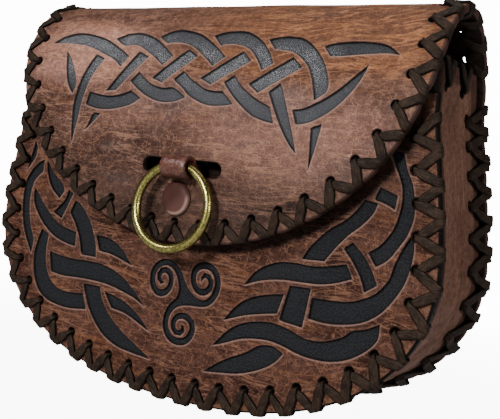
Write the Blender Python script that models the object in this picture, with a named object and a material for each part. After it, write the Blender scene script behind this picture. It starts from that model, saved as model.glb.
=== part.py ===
"""Belt pouch of laced leather. Metres, +Z up, front facing -Y, origin under the middle of the pouch.

Each leather piece is drawn flat, as a leather worker would cut it, and then laid on its place.
"""
import math

import bmesh
import bpy
import numpy as np
from mathutils import Matrix, Vector
from mathutils.geometry import delaunay_2d_cdt

# Leather, lace and holes
LEATHER = 0.0026
SEAM_GAP = 0.0003
LACE_WIDTH = 0.0026
LACE_THICKNESS = 0.0009
LACE_GAP = 0.0004
HOLE_RADIUS = 0.0018
HOLE_SIDES = 6

# Fineness of the outlines: a fine line to measure on, and the facets cut from it
LINE_STEP = 0.001
FACET_STEPS = 5
ROUND_STEPS = 90

# D-shaped panel, measured from its widest line
PANEL_HALF_WIDTH = 0.0855
PANEL_DROP = 0.0535
PANEL_RISE = 0.050
PANEL_ROUNDNESS = 2.25
SHOULDER_HALF_WIDTH = 0.079
SHOULDER_RISE = 0.044
SHOULDER_CURVE = 1.3
PANEL_HOLE_MARGIN = 0.0069
PANEL_PITCH = 0.0093
FRONT_LACE_RISE = 0.043

# Depth of the bag and the fold over its top
BODY_DEPTH = 0.0423
FLAP_STANDOFF = 0.0062
FOLD_START_RISE = 0.0376
FOLD_HEIGHT = 0.0404

# Flap
FLAP_HALF_WIDTH = 0.079
FLAP_ROUND_DROP = 0.066
FLAP_EDGE_BELOW_FOLD = 0.0396
FLAP_HOLE_MARGIN = 0.006
FLAP_PITCH = 0.0095

# Gusset, set in from the panels' edges
GUSSET_INSET = 0.002
GUSSET_TOP_RISE = 0.0605
GUSSET_HOLE_FROM_BACK = 0.009
GUSSET_TOP_HOLE_MARGIN = 0.0075
GUSSET_TOP_LACES = 2
GUSSET_TOP_FIRST = 0.008
GUSSET_TOP_PITCH = 0.013
SEAM_TOP_CLEARANCE = 0.007
FLAP_LACE_END_CLEARANCE = 0.0057
NOTCH_CLEARANCE = 0.0008
GUSSET_BACK_FACETS = 80

# Slot, loop and ring
CLOSURE_X = -0.0015
SLOT_RISE = 0.0216
SLOT_WIDTH = 0.031
SLOT_HEIGHT = 0.0048
SLOT_END_CORNERS = 7
RING_OUTER_RADIUS = 0.0147
RING_WIRE_RADIUS = 0.0015
RING_SEGMENTS = 30
RING_SIDES = 6
RING_TURN = math.radians(4.0)
RING_LEAN = math.radians(5.0)
LOOP_X = 0.0005
LOOP_WIDTH = 0.0096
LOOP_LEATHER = 0.0013
LOOP_BORE_GAP = 0.0003
LOOP_SIDES = 20
LOOP_FOOT_HEIGHT = 0.014
LOOP_FOOT_LIFT = 0.002

# Snap below the slot
SNAP_RISE = 0.0115
SNAP_CAP_RADIUS = 0.0055
SNAP_CAP_HEIGHT = 0.0018
SNAP_POST_RADIUS = 0.002
SNAP_HEAD_RADIUS = 0.0042
SNAP_HEAD_THICKNESS = 0.001
SNAP_SIDES = 16
SNAP_DOME_RINGS = 6

# Sharpest turn of a lace that keeps its thickness, as one plus the cosine between its sides
LACE_MITRE_LIMIT = 0.35

# Belt loops on the back
BELT_LOOP_X = 0.038
BELT_LOOP_WIDTH = 0.026
BELT_LOOP_BOTTOM_RISE = -0.037
BELT_GAP_HEIGHT = 0.044
BELT_GAP_DEPTH = 0.0055
BELT_PAD_HEIGHT = 0.009
BELT_RAMP_HEIGHT = 0.004
BELT_RAMP_SPREAD = 0.6
BELT_RAMP_FACETS = 5

# Heights and depths worked out from the sizes above
LACE_STAND = LACE_GAP + LACE_THICKNESS
LACE_MIDDLE = LACE_GAP + LACE_THICKNESS / 2
WIDEST_Z = LACE_STAND + PANEL_DROP
FOLD_START_Z = WIDEST_Z + FOLD_START_RISE
RING_MIDDLE_RADIUS = RING_OUTER_RADIUS - RING_WIRE_RADIUS
RING_SAG = RING_MIDDLE_RADIUS - math.sqrt(RING_MIDDLE_RADIUS ** 2 - (LOOP_WIDTH / 2) ** 2)
RING_DRIFT = math.hypot(RING_SAG / 2, LOOP_WIDTH / 2 * math.tan(RING_TURN))
LOOP_BORE_RADIUS = RING_WIRE_RADIUS + RING_DRIFT + LOOP_BORE_GAP
LOOP_BARREL_RADIUS = LOOP_BORE_RADIUS + LOOP_LEATHER
RING_REACH = ((RING_MIDDLE_RADIUS - RING_SAG / 2) * math.sin(RING_LEAN)
              + RING_MIDDLE_RADIUS * math.hypot(math.sin(RING_LEAN), math.sin(RING_TURN) * math.cos(RING_LEAN))
              + RING_WIRE_RADIUS * math.cos(math.pi / RING_SIDES))
FRONT_REACH = SEAM_GAP + LOOP_BARREL_RADIUS + max(LOOP_BARREL_RADIUS, RING_REACH)
BACK_REACH = BELT_GAP_DEPTH + LEATHER
FOLD_DEPTH = BODY_DEPTH + FLAP_STANDOFF
FLAP_Y = -(FRONT_REACH + FOLD_DEPTH + BACK_REACH) / 2 + FRONT_REACH
FRONT_Y = FLAP_Y + FLAP_STANDOFF
BACK_Y = FLAP_Y + FOLD_DEPTH
LOOP_Y = FLAP_Y - SEAM_GAP - LOOP_BARREL_RADIUS
LOOP_Z = WIDEST_Z + SLOT_RISE
SNAP_Z = WIDEST_Z + SNAP_RISE

MATERIALS = {
    "leather": ((0.115, 0.034, 0.020, 1.0), 0.50, 0.0),
    "lace_leather": ((0.035, 0.020, 0.012, 1.0), 0.55, 0.0),
    "brass": ((0.33, 0.25, 0.13, 1.0), 0.38, 1.0),
    "cap_enamel": ((0.16, 0.075, 0.055, 1.0), 0.35, 0.0),
    "steel": ((0.42, 0.40, 0.38, 1.0), 0.40, 1.0),
}


def make_material(name):
    colour, roughness, metallic = MATERIALS[name]
    material = bpy.data.materials.get(name) or bpy.data.materials.new(name)
    material.use_nodes = True
    shader = material.node_tree.nodes["Principled BSDF"]
    shader.inputs["Base Color"].default_value = colour
    shader.inputs["Roughness"].default_value = roughness
    shader.inputs["Metallic"].default_value = metallic
    return material


def add_object(name, points, faces, material, origin=(0.0, 0.0, 0.0)):
    """One closed body with its faces turned outward."""
    mesh = bpy.data.meshes.new(name)
    mesh.from_pydata([tuple(np.subtract(p, origin)) for p in points], [], faces)
    body = bmesh.new()
    body.from_mesh(mesh)
    bmesh.ops.recalc_face_normals(body, faces=body.faces)
    if body.calc_volume(signed=True) < 0:
        bmesh.ops.reverse_faces(body, faces=body.faces)
    body.to_mesh(mesh)
    body.free()
    mesh.shade_smooth()
    mesh.set_sharp_from_angle(angle=math.radians(35))
    made = bpy.data.objects.new(name, mesh)
    made.location = origin
    made.data.materials.append(make_material(material))
    bpy.context.scene.collection.objects.link(made)
    return made


def even_line(points, step):
    """The same line with points at even steps, its length running from the middle point."""
    points = np.asarray(points)
    length = np.concatenate([[0.0], np.cumsum(np.linalg.norm(np.diff(points, axis=0), axis=1))])
    count = max(3, int(round(length[-1] / step)) // 2 * 2 + 1)
    even = np.linspace(0.0, length[-1], count)
    return np.stack([np.interp(even, length, points[:, k]) for k in (0, 1)], axis=1)


def line_frames(line):
    """Unit directions along a line, and the inward normals on its left."""
    along = np.gradient(line, axis=0)
    along /= np.linalg.norm(along, axis=1)[:, None]
    return along, np.stack([-along[:, 1], along[:, 0]], axis=1)


def line_length(line):
    """Distance along a line, counted from its middle point."""
    length = np.concatenate([[0.0], np.cumsum(np.linalg.norm(np.diff(line, axis=0), axis=1))])
    return length - length[len(line) // 2]


def mirrored(right_side):
    """A line from the left end through the bottom to the right end."""
    left_side = [(-x, z) for x, z in right_side[:0:-1]]
    return left_side + list(right_side)


def panel_half_width(rise):
    share = min(max(rise, 0.0) / SHOULDER_RISE, 1.0)
    return PANEL_HALF_WIDTH - (PANEL_HALF_WIDTH - SHOULDER_HALF_WIDTH) * share ** SHOULDER_CURVE


def panel_line(top_rise):
    """The D outline as width and height above its widest line, from left top round to right top."""
    power = 2.0 / PANEL_ROUNDNESS
    side = []
    for turn in np.linspace(0.0, math.pi / 2, ROUND_STEPS):
        side.append((PANEL_HALF_WIDTH * math.sin(turn) ** power, -PANEL_DROP * math.cos(turn) ** power))
    for rise in np.arange(LINE_STEP, top_rise, LINE_STEP).tolist() + [top_rise]:
        side.append((panel_half_width(rise), rise))
    return even_line(mirrored(side), LINE_STEP)


def stations(line, margin, pitch, reach):
    """Holes at an even pitch on a line set in by a margin, out to a reach either side of the middle."""
    along, inward = line_frames(line)
    hole_line = line + inward * margin
    length = line_length(hole_line)
    steps = int(min(reach, length[-1]) / pitch)
    found = []
    for k in range(-steps, steps + 1):
        at = np.interp(k * pitch, length, np.arange(len(line)))
        pick = [np.interp(at, np.arange(len(line)), values[:, axis])
                for values in (line, inward, along) for axis in (0, 1)]
        edge, across, ahead = np.array(pick[0:2]), np.array(pick[2:4]), np.array(pick[4:6])
        found.append({"edge": edge, "inward": across, "along": ahead, "hole": edge + across * margin})
    return found


def facets(line):
    """The corners cut from a fine line, its two ends kept."""
    count = max(2, round((len(line) - 1) / FACET_STEPS)) + 1
    return [tuple(line[k]) for k in np.linspace(0, len(line) - 1, count).round().astype(int)]


def round_hole(centre, radius, sides):
    turns = (np.arange(sides) + 0.5) * 2 * math.pi / sides
    return [(centre[0] + radius * math.cos(t), centre[1] + radius * math.sin(t)) for t in turns]


def inside(loop, point):
    """Whether a point lies within a closed loop."""
    loop = np.asarray(loop)
    ahead = np.roll(loop, -1, axis=0)
    crosses = (loop[:, 1] > point[1]) != (ahead[:, 1] > point[1])
    rise = np.where(crosses, ahead[:, 1] - loop[:, 1], 1.0)
    at = loop[:, 0] + (point[1] - loop[:, 1]) / rise * (ahead[:, 0] - loop[:, 0])
    return int(np.sum(crosses & (point[0] < at))) % 2 == 1


def cut_sheet(outline, holes, bend_lines):
    """Triangles of a flat outline with its holes, divided along the lines where it will bend."""
    per_metre = 1000.0
    points, edges = [], []
    for loop in [outline] + holes:
        start = len(points)
        points += [Vector((a * per_metre, b * per_metre)) for a, b in loop]
        edges += [(start + k, start + (k + 1) % len(loop)) for k in range(len(loop))]
    for first, last in bend_lines:
        edges.append((len(points), len(points) + 1))
        points += [Vector((first[0] * per_metre, first[1] * per_metre)),
                   Vector((last[0] * per_metre, last[1] * per_metre))]
    flat, _, triangles, _, _, _ = delaunay_2d_cdt(points, edges, [], 0, 1e-5)
    flat = np.array(flat) / per_metre
    kept = []
    for triangle in triangles:
        centre = flat[list(triangle)].mean(axis=0)
        if inside(outline, centre) and not any(inside(hole, centre) for hole in holes):
            kept.append(tuple(triangle))
    used = sorted({k for triangle in kept for k in triangle})
    number = {k: i for i, k in enumerate(used)}
    return flat[used], [tuple(number[k] for k in triangle) for triangle in kept]


def leather_piece(name, outline, holes, bend_lines, place, material="leather", thickness=LEATHER):
    """Cut a flat sheet and give it two faces and its cut edges, laid where place puts them."""
    flat, triangles = cut_sheet(outline, holes, bend_lines)
    count = len(flat)
    points = [place(a, b, 0.0) for a, b in flat] + [place(a, b, thickness) for a, b in flat]
    faces = [tuple(triangle) for triangle in triangles]
    faces += [tuple(count + k for k in reversed(triangle)) for triangle in triangles]
    sides = {(t[k], t[(k + 1) % 3]) for t in triangles for k in range(3)}
    faces += [(b, a, count + a, count + b) for a, b in sides if (b, a) not in sides]
    return add_object(name, points, faces, material)


def front_place(x, z, depth):
    return (x, FRONT_Y + depth, z)


FOLD_TURNS = np.linspace(0.0, math.pi, 8 * ROUND_STEPS + 1)
FOLD_LINE = np.stack([FLAP_Y + FOLD_DEPTH / 2 * (1 - np.cos(FOLD_TURNS)),
                      FOLD_START_Z + FOLD_HEIGHT * np.sin(FOLD_TURNS)], axis=1)
FOLD_LENGTHS = np.concatenate([[0.0], np.cumsum(np.linalg.norm(np.diff(FOLD_LINE, axis=0), axis=1))])
FOLD_ARC = FOLD_LENGTHS[-1]


def wrap_place(u, v, depth):
    """The back and flap: v is the height on the flap, then the length over the fold and down the back."""
    if v <= FOLD_START_Z:
        return (u, FLAP_Y + depth, v)
    if v >= FOLD_START_Z + FOLD_ARC:
        return (u, BACK_Y - depth, 2 * FOLD_START_Z + FOLD_ARC - v)
    turn = np.interp(v - FOLD_START_Z, FOLD_LENGTHS, FOLD_TURNS)
    y, z = (np.interp(v - FOLD_START_Z, FOLD_LENGTHS, FOLD_LINE[:, k]) for k in (0, 1))
    outward = np.array([-FOLD_HEIGHT * math.cos(turn), FOLD_DEPTH / 2 * math.sin(turn)])
    outward /= np.linalg.norm(outward)
    return (u, y - outward[0] * depth, z - outward[1] * depth)


def back_v(rise):
    """Length along the wrap of a height above the widest line, measured on the back."""
    return FOLD_START_Z + FOLD_ARC + FOLD_START_RISE - rise


def shift_line(line, height):
    return line + np.array([0.0, height])


def gusset_line(top_rise):
    """The gusset's outer face seen from the front, in world width and height."""
    line = panel_line(top_rise)
    _, inward = line_frames(line)
    return shift_line(line + inward * GUSSET_INSET, WIDEST_Z)


GUSSET_LINE = gusset_line(GUSSET_TOP_RISE + PANEL_PITCH)
GUSSET_LENGTH = line_length(GUSSET_LINE)
GUSSET_HALF = len(GUSSET_LINE) // 2
GUSSET_TOP = float(np.interp(WIDEST_Z + GUSSET_TOP_RISE,
                             GUSSET_LINE[GUSSET_HALF:, 1], GUSSET_LENGTH[GUSSET_HALF:]))
GUSSET_ALONG, GUSSET_INWARD = line_frames(GUSSET_LINE)


def gusset_place(s, y, depth):
    at = np.interp(s, GUSSET_LENGTH, np.arange(len(GUSSET_LINE)))
    x, z = (np.interp(at, np.arange(len(GUSSET_LINE)), GUSSET_LINE[:, k]) for k in (0, 1))
    nx, nz = (np.interp(at, np.arange(len(GUSSET_LINE)), GUSSET_INWARD[:, k]) for k in (0, 1))
    return (x + nx * depth, y, z + nz * depth)


def gusset_flat(point):
    """The place on the flat gusset nearest to a point in the world."""
    away = np.array([point[0], point[2]]) - GUSSET_LINE
    nearest = int(np.argmin(np.hypot(away[:, 0], away[:, 1])))
    return GUSSET_LENGTH[nearest] + float(away[nearest] @ GUSSET_ALONG[nearest]), point[1]


def whip_lace(name, line_stations, route, place, material="lace_leather"):
    """A flat thong that winds through each hole and round the edge.

    A route row gives how far in from the edge, how deep, and the share of the pitch moved on.
    """
    turns = np.array([row[:2] for row in route])
    behind = turns - np.roll(turns, 1, axis=0)
    ahead = np.roll(turns, -1, axis=0) - turns
    sides = []
    for before, after in zip(behind, ahead):
        first = np.array([before[1], -before[0]]) / max(np.linalg.norm(before), 1e-9)
        second = np.array([after[1], -after[0]]) / max(np.linalg.norm(after), 1e-9)
        mitre = (first + second) / max(1.0 + float(first @ second), LACE_MITRE_LIMIT)
        sides.append(mitre)
    sections = []
    for k, here in enumerate(line_stations):
        last = k == len(line_stations) - 1
        following = here if last else line_stations[k + 1]
        for (inset, depth, advance), side in zip(route, sides):
            if last and advance > 0.0:
                break
            edge = here["edge"] * (1 - advance) + following["edge"] * advance
            inward = here["inward"] * (1 - advance) + following["inward"] * advance
            along = here["along"] * (1 - advance) + following["along"] * advance
            ring = []
            for across, out in ((-1, -1), (1, -1), (1, 1), (-1, 1)):
                reach = inset + side[0] * out * LACE_THICKNESS / 2
                deep = depth + side[1] * out * LACE_THICKNESS / 2
                flat = edge + inward * reach + along * across * LACE_WIDTH / 2
                ring.append(place(flat[0], flat[1], deep))
            sections.append(ring)
    points = [p for ring in sections for p in ring]
    faces = [(3, 2, 1, 0), tuple(len(points) - 4 + k for k in range(4))]
    for k in range(len(sections) - 1):
        for j in range(4):
            a, b = 4 * k + j, 4 * k + (j + 1) % 4
            faces.append((a, b, b + 4, a + 4))
    return add_object(name, points, faces, material)


def edge_route(margin):
    """Once round a single edge: out of the hole, over the edge, and back behind to the next hole."""
    deep = LEATHER + LACE_MIDDLE
    return [(margin, -LACE_MIDDLE, 0.0),
            ((margin - LACE_MIDDLE) / 2, -LACE_MIDDLE, 0.5),
            (-LACE_MIDDLE, -LACE_MIDDLE, 1.0),
            (-LACE_MIDDLE, deep, 1.0),
            (margin, deep, 1.0)]


def seam_route():
    """Once round the back seam: over the back edge, down the gusset, in at its hole and out at the back."""
    margin = PANEL_HOLE_MARGIN
    outside = GUSSET_INSET - LACE_MIDDLE
    within = GUSSET_INSET + LEATHER + LACE_MIDDLE
    at_hole = LEATHER + SEAM_GAP + GUSSET_HOLE_FROM_BACK
    return [(margin, -LACE_MIDDLE, 0.0),
            ((margin - LACE_MIDDLE) / 2, -LACE_MIDDLE, 0.5),
            (-LACE_MIDDLE, -LACE_MIDDLE, 1.0),
            (-LACE_MIDDLE, LEATHER + LACE_MIDDLE, 1.0),
            (outside, at_hole, 1.0),
            (within, at_hole, 1.0),
            (margin, LEATHER + LACE_MIDDLE, 1.0)]


def front_stations():
    line = shift_line(panel_line(PANEL_RISE), WIDEST_Z)
    reach = stations_reach(line, PANEL_HOLE_MARGIN, WIDEST_Z + FRONT_LACE_RISE)
    return line, stations(line, PANEL_HOLE_MARGIN, PANEL_PITCH, reach)


def stations_reach(line, margin, top):
    """Length along the hole line from the middle up to a given height."""
    hole_line = line + line_frames(line)[1] * margin
    right = hole_line[len(line) // 2:]
    length = line_length(hole_line)[len(line) // 2:]
    return float(np.interp(top, right[:, 1], length))


def back_stations():
    """Stations of the back seam, drawn as heights first and then laid along the wrap."""
    line = panel_line(GUSSET_TOP_RISE)
    reach = stations_reach(line, PANEL_HOLE_MARGIN, GUSSET_TOP_RISE - SEAM_TOP_CLEARANCE)
    found = stations(line, PANEL_HOLE_MARGIN, PANEL_PITCH, reach)
    for row in found:
        for key in ("edge", "hole"):
            row[key] = np.array([row[key][0], back_v(row[key][1])])
        for key in ("inward", "along"):
            row[key] = row[key] * np.array([1.0, -1.0])
    return found


def flap_line():
    """The free edge from the left gusset, down round the flap and up to the right gusset."""
    centre_v = FOLD_START_Z - FLAP_EDGE_BELOW_FOLD + FLAP_ROUND_DROP
    side = [(FLAP_HALF_WIDTH * math.sin(t), centre_v - FLAP_ROUND_DROP * math.cos(t))
            for t in np.linspace(0.0, math.pi / 2, ROUND_STEPS)]
    top = back_v(GUSSET_TOP_RISE)
    side += [(FLAP_HALF_WIDTH, v) for v in np.arange(centre_v + LINE_STEP, top, LINE_STEP).tolist() + [top]]
    return even_line(mirrored(side), LINE_STEP)


def flap_stations():
    line = flap_line()
    length = line_length(line + line_frames(line)[1] * FLAP_HOLE_MARGIN)
    return stations(line, FLAP_HOLE_MARGIN, FLAP_PITCH, length[-1] - FLAP_LACE_END_CLEARANCE)


def lace_holes(line_stations):
    return [round_hole(row["hole"], HOLE_RADIUS, HOLE_SIDES) for row in line_stations]


def make_front_panel():
    line, found = front_stations()
    outline = facets(line)
    holes = lace_holes(found)
    holes.append(round_hole((CLOSURE_X, SNAP_Z), SNAP_POST_RADIUS + SEAM_GAP, SNAP_SIDES))
    leather_piece("front_panel", outline, holes, [], front_place)
    route = edge_route(PANEL_HOLE_MARGIN)
    whip_lace("front_lace", found, route, front_place)


def slot_outline():
    half = SLOT_WIDTH / 2 - SLOT_HEIGHT / 2
    radius = SLOT_HEIGHT / 2
    turns = np.linspace(-math.pi / 2, math.pi / 2, SLOT_END_CORNERS)
    right = [(CLOSURE_X + half + radius * math.cos(t), LOOP_Z + radius * math.sin(t)) for t in turns]
    left = [(CLOSURE_X - half - radius * math.cos(t), LOOP_Z - radius * math.sin(t)) for t in turns]
    return right + left


def make_back_and_flap():
    """One outline: the flap's free edge, then the back's edge below the gusset's top."""
    back_edge = [(x, back_v(rise)) for x, rise in facets(panel_line(GUSSET_TOP_RISE))[::-1]]
    seam, free = back_stations(), flap_stations()
    holes = lace_holes(seam) + lace_holes(free)
    holes.append(slot_outline())
    holes.append(round_hole((CLOSURE_X, SNAP_Z), SNAP_POST_RADIUS + SEAM_GAP, SNAP_SIDES))
    fold_end = FOLD_START_Z + FOLD_ARC
    rows = sorted(row["hole"][1] for row in free if row["hole"][0] > 0 and row["hole"][1] > FOLD_START_Z)
    rows = [FOLD_START_Z] + rows + [fold_end - FLAP_PITCH, fold_end]
    rows += [(a + b) / 2 for a, b in zip(rows, rows[1:])]
    wide = PANEL_HALF_WIDTH + FLAP_HALF_WIDTH
    bends = [((-wide, v), (wide, v)) for v in rows]
    leather_piece("back_and_flap", facets(flap_line()) + back_edge[1:-1], holes, bends, wrap_place)
    whip_lace("flap_lace", free, edge_route(FLAP_HOLE_MARGIN), wrap_place)
    whip_lace("back_lace", seam, seam_route(), wrap_place)


def gusset_back_y(z):
    """How far back the gusset reaches under the wrap at a height."""
    inner = BACK_Y - LEATHER - SEAM_GAP
    if z <= FOLD_START_Z:
        return inner
    half = len(FOLD_TURNS) // 2
    behind = [wrap_place(0.0, FOLD_START_Z + length, LEATHER + SEAM_GAP) for length in FOLD_LENGTHS[half:]]
    heights = np.array([p[2] for p in behind])[::-1]
    depths = np.array([p[1] for p in behind])[::-1]
    return float(np.interp(z, heights, depths))


def make_gusset():
    front_y = FRONT_Y + LEATHER + SEAM_GAP
    _, front = front_stations()
    notch_half = LACE_WIDTH / 2 + LACE_GAP
    notch_depth = LACE_STAND + NOTCH_CLEARANCE - SEAM_GAP
    edge = [(-GUSSET_TOP, front_y)]
    seats = [gusset_flat(front_place(row["edge"][0], row["edge"][1], 0.0))[0] for row in front]
    for s in seats:
        edge += [(s - notch_half, front_y), (s - notch_half, front_y + notch_depth),
                 (s + notch_half, front_y + notch_depth), (s + notch_half, front_y)]
    edge.append((GUSSET_TOP, front_y))
    back = [(s, gusset_back_y(gusset_place(s, 0.0, 0.0)[2]))
            for s in np.linspace(GUSSET_TOP, -GUSSET_TOP, GUSSET_BACK_FACETS + 1)]
    outline = edge + back
    holes = []
    for row in back_stations():
        flat = row["edge"] + row["inward"] * GUSSET_INSET
        point = wrap_place(flat[0], flat[1], LEATHER + SEAM_GAP + GUSSET_HOLE_FROM_BACK)
        holes.append(round_hole(gusset_flat(point), HOLE_RADIUS, HOLE_SIDES))
    sides = {}
    for side in (-1, 1):
        sides[side] = top_stations(side, front_y)
        holes += lace_holes(sides[side])
    bends = [((s, FLAP_Y), (s, BACK_Y)) for s in seats]
    leather_piece("gusset", outline, holes, bends, gusset_place)
    for side, name in ((-1, "gusset_lace_left"), (1, "gusset_lace_right")):
        whip_lace(name, sides[side], edge_route(GUSSET_TOP_HOLE_MARGIN), gusset_place)


def top_stations(side, front_y):
    """Holes under the gusset's free top edge."""
    found = []
    for k in range(GUSSET_TOP_LACES):
        y = front_y + GUSSET_TOP_FIRST + k * GUSSET_TOP_PITCH
        found.append({"edge": np.array([side * GUSSET_TOP, y]), "inward": np.array([-side * 1.0, 0.0]),
                      "along": np.array([0.0, 1.0]),
                      "hole": np.array([side * (GUSSET_TOP - GUSSET_TOP_HOLE_MARGIN), y])})
    return found


def make_ring_loop():
    """A strap folded round the ring, with its two ends through the slot and fixed to the front panel."""
    stem = LOOP_LEATHER
    foot_y = FRONT_Y - SEAM_GAP
    foot_front = foot_y - LOOP_LEATHER
    start = math.asin(stem / LOOP_BARREL_RADIUS)
    turns = np.linspace(start, 2 * math.pi - start, LOOP_SIDES + 1)
    barrel = [(LOOP_Y + LOOP_BARREL_RADIUS * math.cos(t), LOOP_Z + LOOP_BARREL_RADIUS * math.sin(t))
              for t in turns]
    foot_middle = LOOP_Z + LOOP_FOOT_LIFT
    low, high = foot_middle - LOOP_FOOT_HEIGHT / 2, foot_middle + LOOP_FOOT_HEIGHT / 2
    tail = [(foot_front, LOOP_Z - stem), (foot_front, low), (foot_y, low), (foot_y, high),
            (foot_front, high), (foot_front, LOOP_Z + stem)]
    bore = round_hole((LOOP_Y, LOOP_Z), LOOP_BORE_RADIUS, LOOP_SIDES)

    def place(y, z, depth):
        return (LOOP_X - LOOP_WIDTH / 2 + depth, y, z)

    leather_piece("ring_loop", barrel + tail, [bore], [], place, thickness=LOOP_WIDTH)


def make_ring():
    """The ring hangs in the loop, with its origin on the line it swings about.

    It is turned a little to the right and leans out on the lace at the flap's edge.
    """
    pose = Matrix.Rotation(-RING_LEAN, 3, "X") @ Matrix.Rotation(RING_TURN, 3, "Z")
    axis = Vector((LOOP_X, LOOP_Y, LOOP_Z))
    points, faces = [], []
    for k in range(RING_SEGMENTS):
        turn = 2 * math.pi * k / RING_SEGMENTS
        for j in range(RING_SIDES):
            wire = 2 * math.pi * j / RING_SIDES
            radius = RING_MIDDLE_RADIUS + RING_WIRE_RADIUS * math.cos(wire)
            hung = Vector((radius * math.sin(turn), RING_WIRE_RADIUS * math.sin(wire),
                           RING_SAG / 2 - RING_MIDDLE_RADIUS + radius * math.cos(turn)))
            points.append(tuple(axis + pose @ hung))
            here, there = k * RING_SIDES, (k + 1) % RING_SEGMENTS * RING_SIDES
            faces.append((here + j, here + (j + 1) % RING_SIDES,
                          there + (j + 1) % RING_SIDES, there + j))
    add_object("ring", points, faces, "brass", origin=tuple(axis))


def turned_piece(name, profile, material, centre):
    """A round piece turned about a line along Y, from rows of radius and depth."""
    points = [(centre[0], profile[0][1], centre[1])]
    for radius, y in profile[1:-1]:
        for k in range(SNAP_SIDES):
            turn = 2 * math.pi * k / SNAP_SIDES
            points.append((centre[0] + radius * math.cos(turn), y, centre[1] + radius * math.sin(turn)))
    points.append((centre[0], profile[-1][1], centre[1]))
    last = len(points) - 1
    rows = len(profile) - 2
    faces = []
    for k in range(SNAP_SIDES):
        after = (k + 1) % SNAP_SIDES
        faces.append((0, 1 + k, 1 + after))
        faces.append((last, last - SNAP_SIDES + after, last - SNAP_SIDES + k))
        for row in range(rows - 1):
            a, b = 1 + row * SNAP_SIDES, 1 + (row + 1) * SNAP_SIDES
            faces.append((a + k, b + k, b + after, a + after))
    return add_object(name, points, faces, material)


def make_snap():
    """A domed cap set through the flap, and its plain stud set through the front panel behind it."""
    seat = FLAP_Y - SEAM_GAP
    behind = FLAP_Y + LEATHER + SEAM_GAP
    dome = []
    for turn in np.linspace(0.0, math.pi / 2, SNAP_DOME_RINGS):
        dome.append((SNAP_CAP_RADIUS * math.sin(turn), seat - SNAP_CAP_HEIGHT * math.cos(turn)))
    cap = dome + [(SNAP_POST_RADIUS, seat), (SNAP_POST_RADIUS, behind), (SNAP_HEAD_RADIUS, behind),
                  (SNAP_HEAD_RADIUS, behind + SNAP_HEAD_THICKNESS), (0.0, behind + SNAP_HEAD_THICKNESS)]
    turned_piece("snap_cap", cap, "cap_enamel", (CLOSURE_X, SNAP_Z))
    top = behind + SNAP_HEAD_THICKNESS + SEAM_GAP
    base = FRONT_Y - SEAM_GAP
    inner = FRONT_Y + LEATHER + SEAM_GAP
    stud = [(0.0, top), (SNAP_HEAD_RADIUS, top), (SNAP_HEAD_RADIUS, base), (SNAP_POST_RADIUS, base),
            (SNAP_POST_RADIUS, inner), (SNAP_HEAD_RADIUS, inner),
            (SNAP_HEAD_RADIUS, inner + SNAP_HEAD_THICKNESS), (0.0, inner + SNAP_HEAD_THICKNESS)]
    turned_piece("snap_stud", stud, "steel", (CLOSURE_X, SNAP_Z))


def make_belt_loops():
    """Two straps that stand off the back between their pads, leaving room for a belt."""
    seat = BACK_Y + SEAM_GAP
    lift = BELT_GAP_DEPTH - SEAM_GAP
    bottom = WIDEST_Z + BELT_LOOP_BOTTOM_RISE
    gap_low = bottom + BELT_PAD_HEIGHT + BELT_RAMP_HEIGHT
    gap_high = gap_low + BELT_GAP_HEIGHT
    top = gap_high + BELT_RAMP_HEIGHT + BELT_PAD_HEIGHT
    shares = np.linspace(0.0, 1.0, BELT_RAMP_FACETS + 1)
    ease = (1 - np.cos(shares * math.pi)) / 2
    low = [(seat + lift * e, gap_low - BELT_RAMP_HEIGHT * (1 - s)) for s, e in zip(shares, ease)]
    high = [(seat + lift * e, gap_high + BELT_RAMP_HEIGHT * (1 - s)) for s, e in zip(shares, ease)][::-1]
    inner = [(seat, bottom)] + low + high + [(seat, top)]
    ramp_spread = BELT_RAMP_SPREAD * LEATHER
    outer = []
    for y, z in inner:
        if bottom < z <= gap_low:
            z -= ramp_spread
        if gap_high <= z < top:
            z += ramp_spread
        outer.append((y + LEATHER, z))
    for name, x in (("belt_loop_left", -BELT_LOOP_X), ("belt_loop_right", BELT_LOOP_X)):
        def place(y, z, depth, middle=x):
            return (middle - BELT_LOOP_WIDTH / 2 + depth, y, z)
        leather_piece(name, inner + outer[::-1], [], [], place, thickness=BELT_LOOP_WIDTH)


for old in list(bpy.data.objects):
    bpy.data.objects.remove(old, do_unlink=True)

make_front_panel()
make_back_and_flap()
make_gusset()
make_ring_loop()
make_ring()
make_snap()
make_belt_loops()
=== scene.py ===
"""Belt pouch of laced leather: finish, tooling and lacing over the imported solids. Sizes in millimetres."""

import functools
import math
import random
from types import SimpleNamespace

import bmesh
import bpy
import numpy as np
from mathutils import Matrix, Vector, noise
from mathutils.geometry import delaunay_2d_cdt
from mathutils.kdtree import KDTree


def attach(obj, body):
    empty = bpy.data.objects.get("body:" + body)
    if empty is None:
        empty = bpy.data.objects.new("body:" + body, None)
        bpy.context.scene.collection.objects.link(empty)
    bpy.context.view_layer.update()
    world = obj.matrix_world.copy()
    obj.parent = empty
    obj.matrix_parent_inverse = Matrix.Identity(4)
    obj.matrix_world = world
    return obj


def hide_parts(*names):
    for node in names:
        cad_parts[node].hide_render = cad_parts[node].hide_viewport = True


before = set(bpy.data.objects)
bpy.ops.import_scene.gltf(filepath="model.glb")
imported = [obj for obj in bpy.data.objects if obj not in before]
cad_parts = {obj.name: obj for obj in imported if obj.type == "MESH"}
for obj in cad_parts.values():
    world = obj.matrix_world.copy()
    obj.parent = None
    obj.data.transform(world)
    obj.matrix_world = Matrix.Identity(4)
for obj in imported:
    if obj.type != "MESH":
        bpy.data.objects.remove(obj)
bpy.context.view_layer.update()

MM = 0.001
PICK = random.Random(11)

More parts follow.
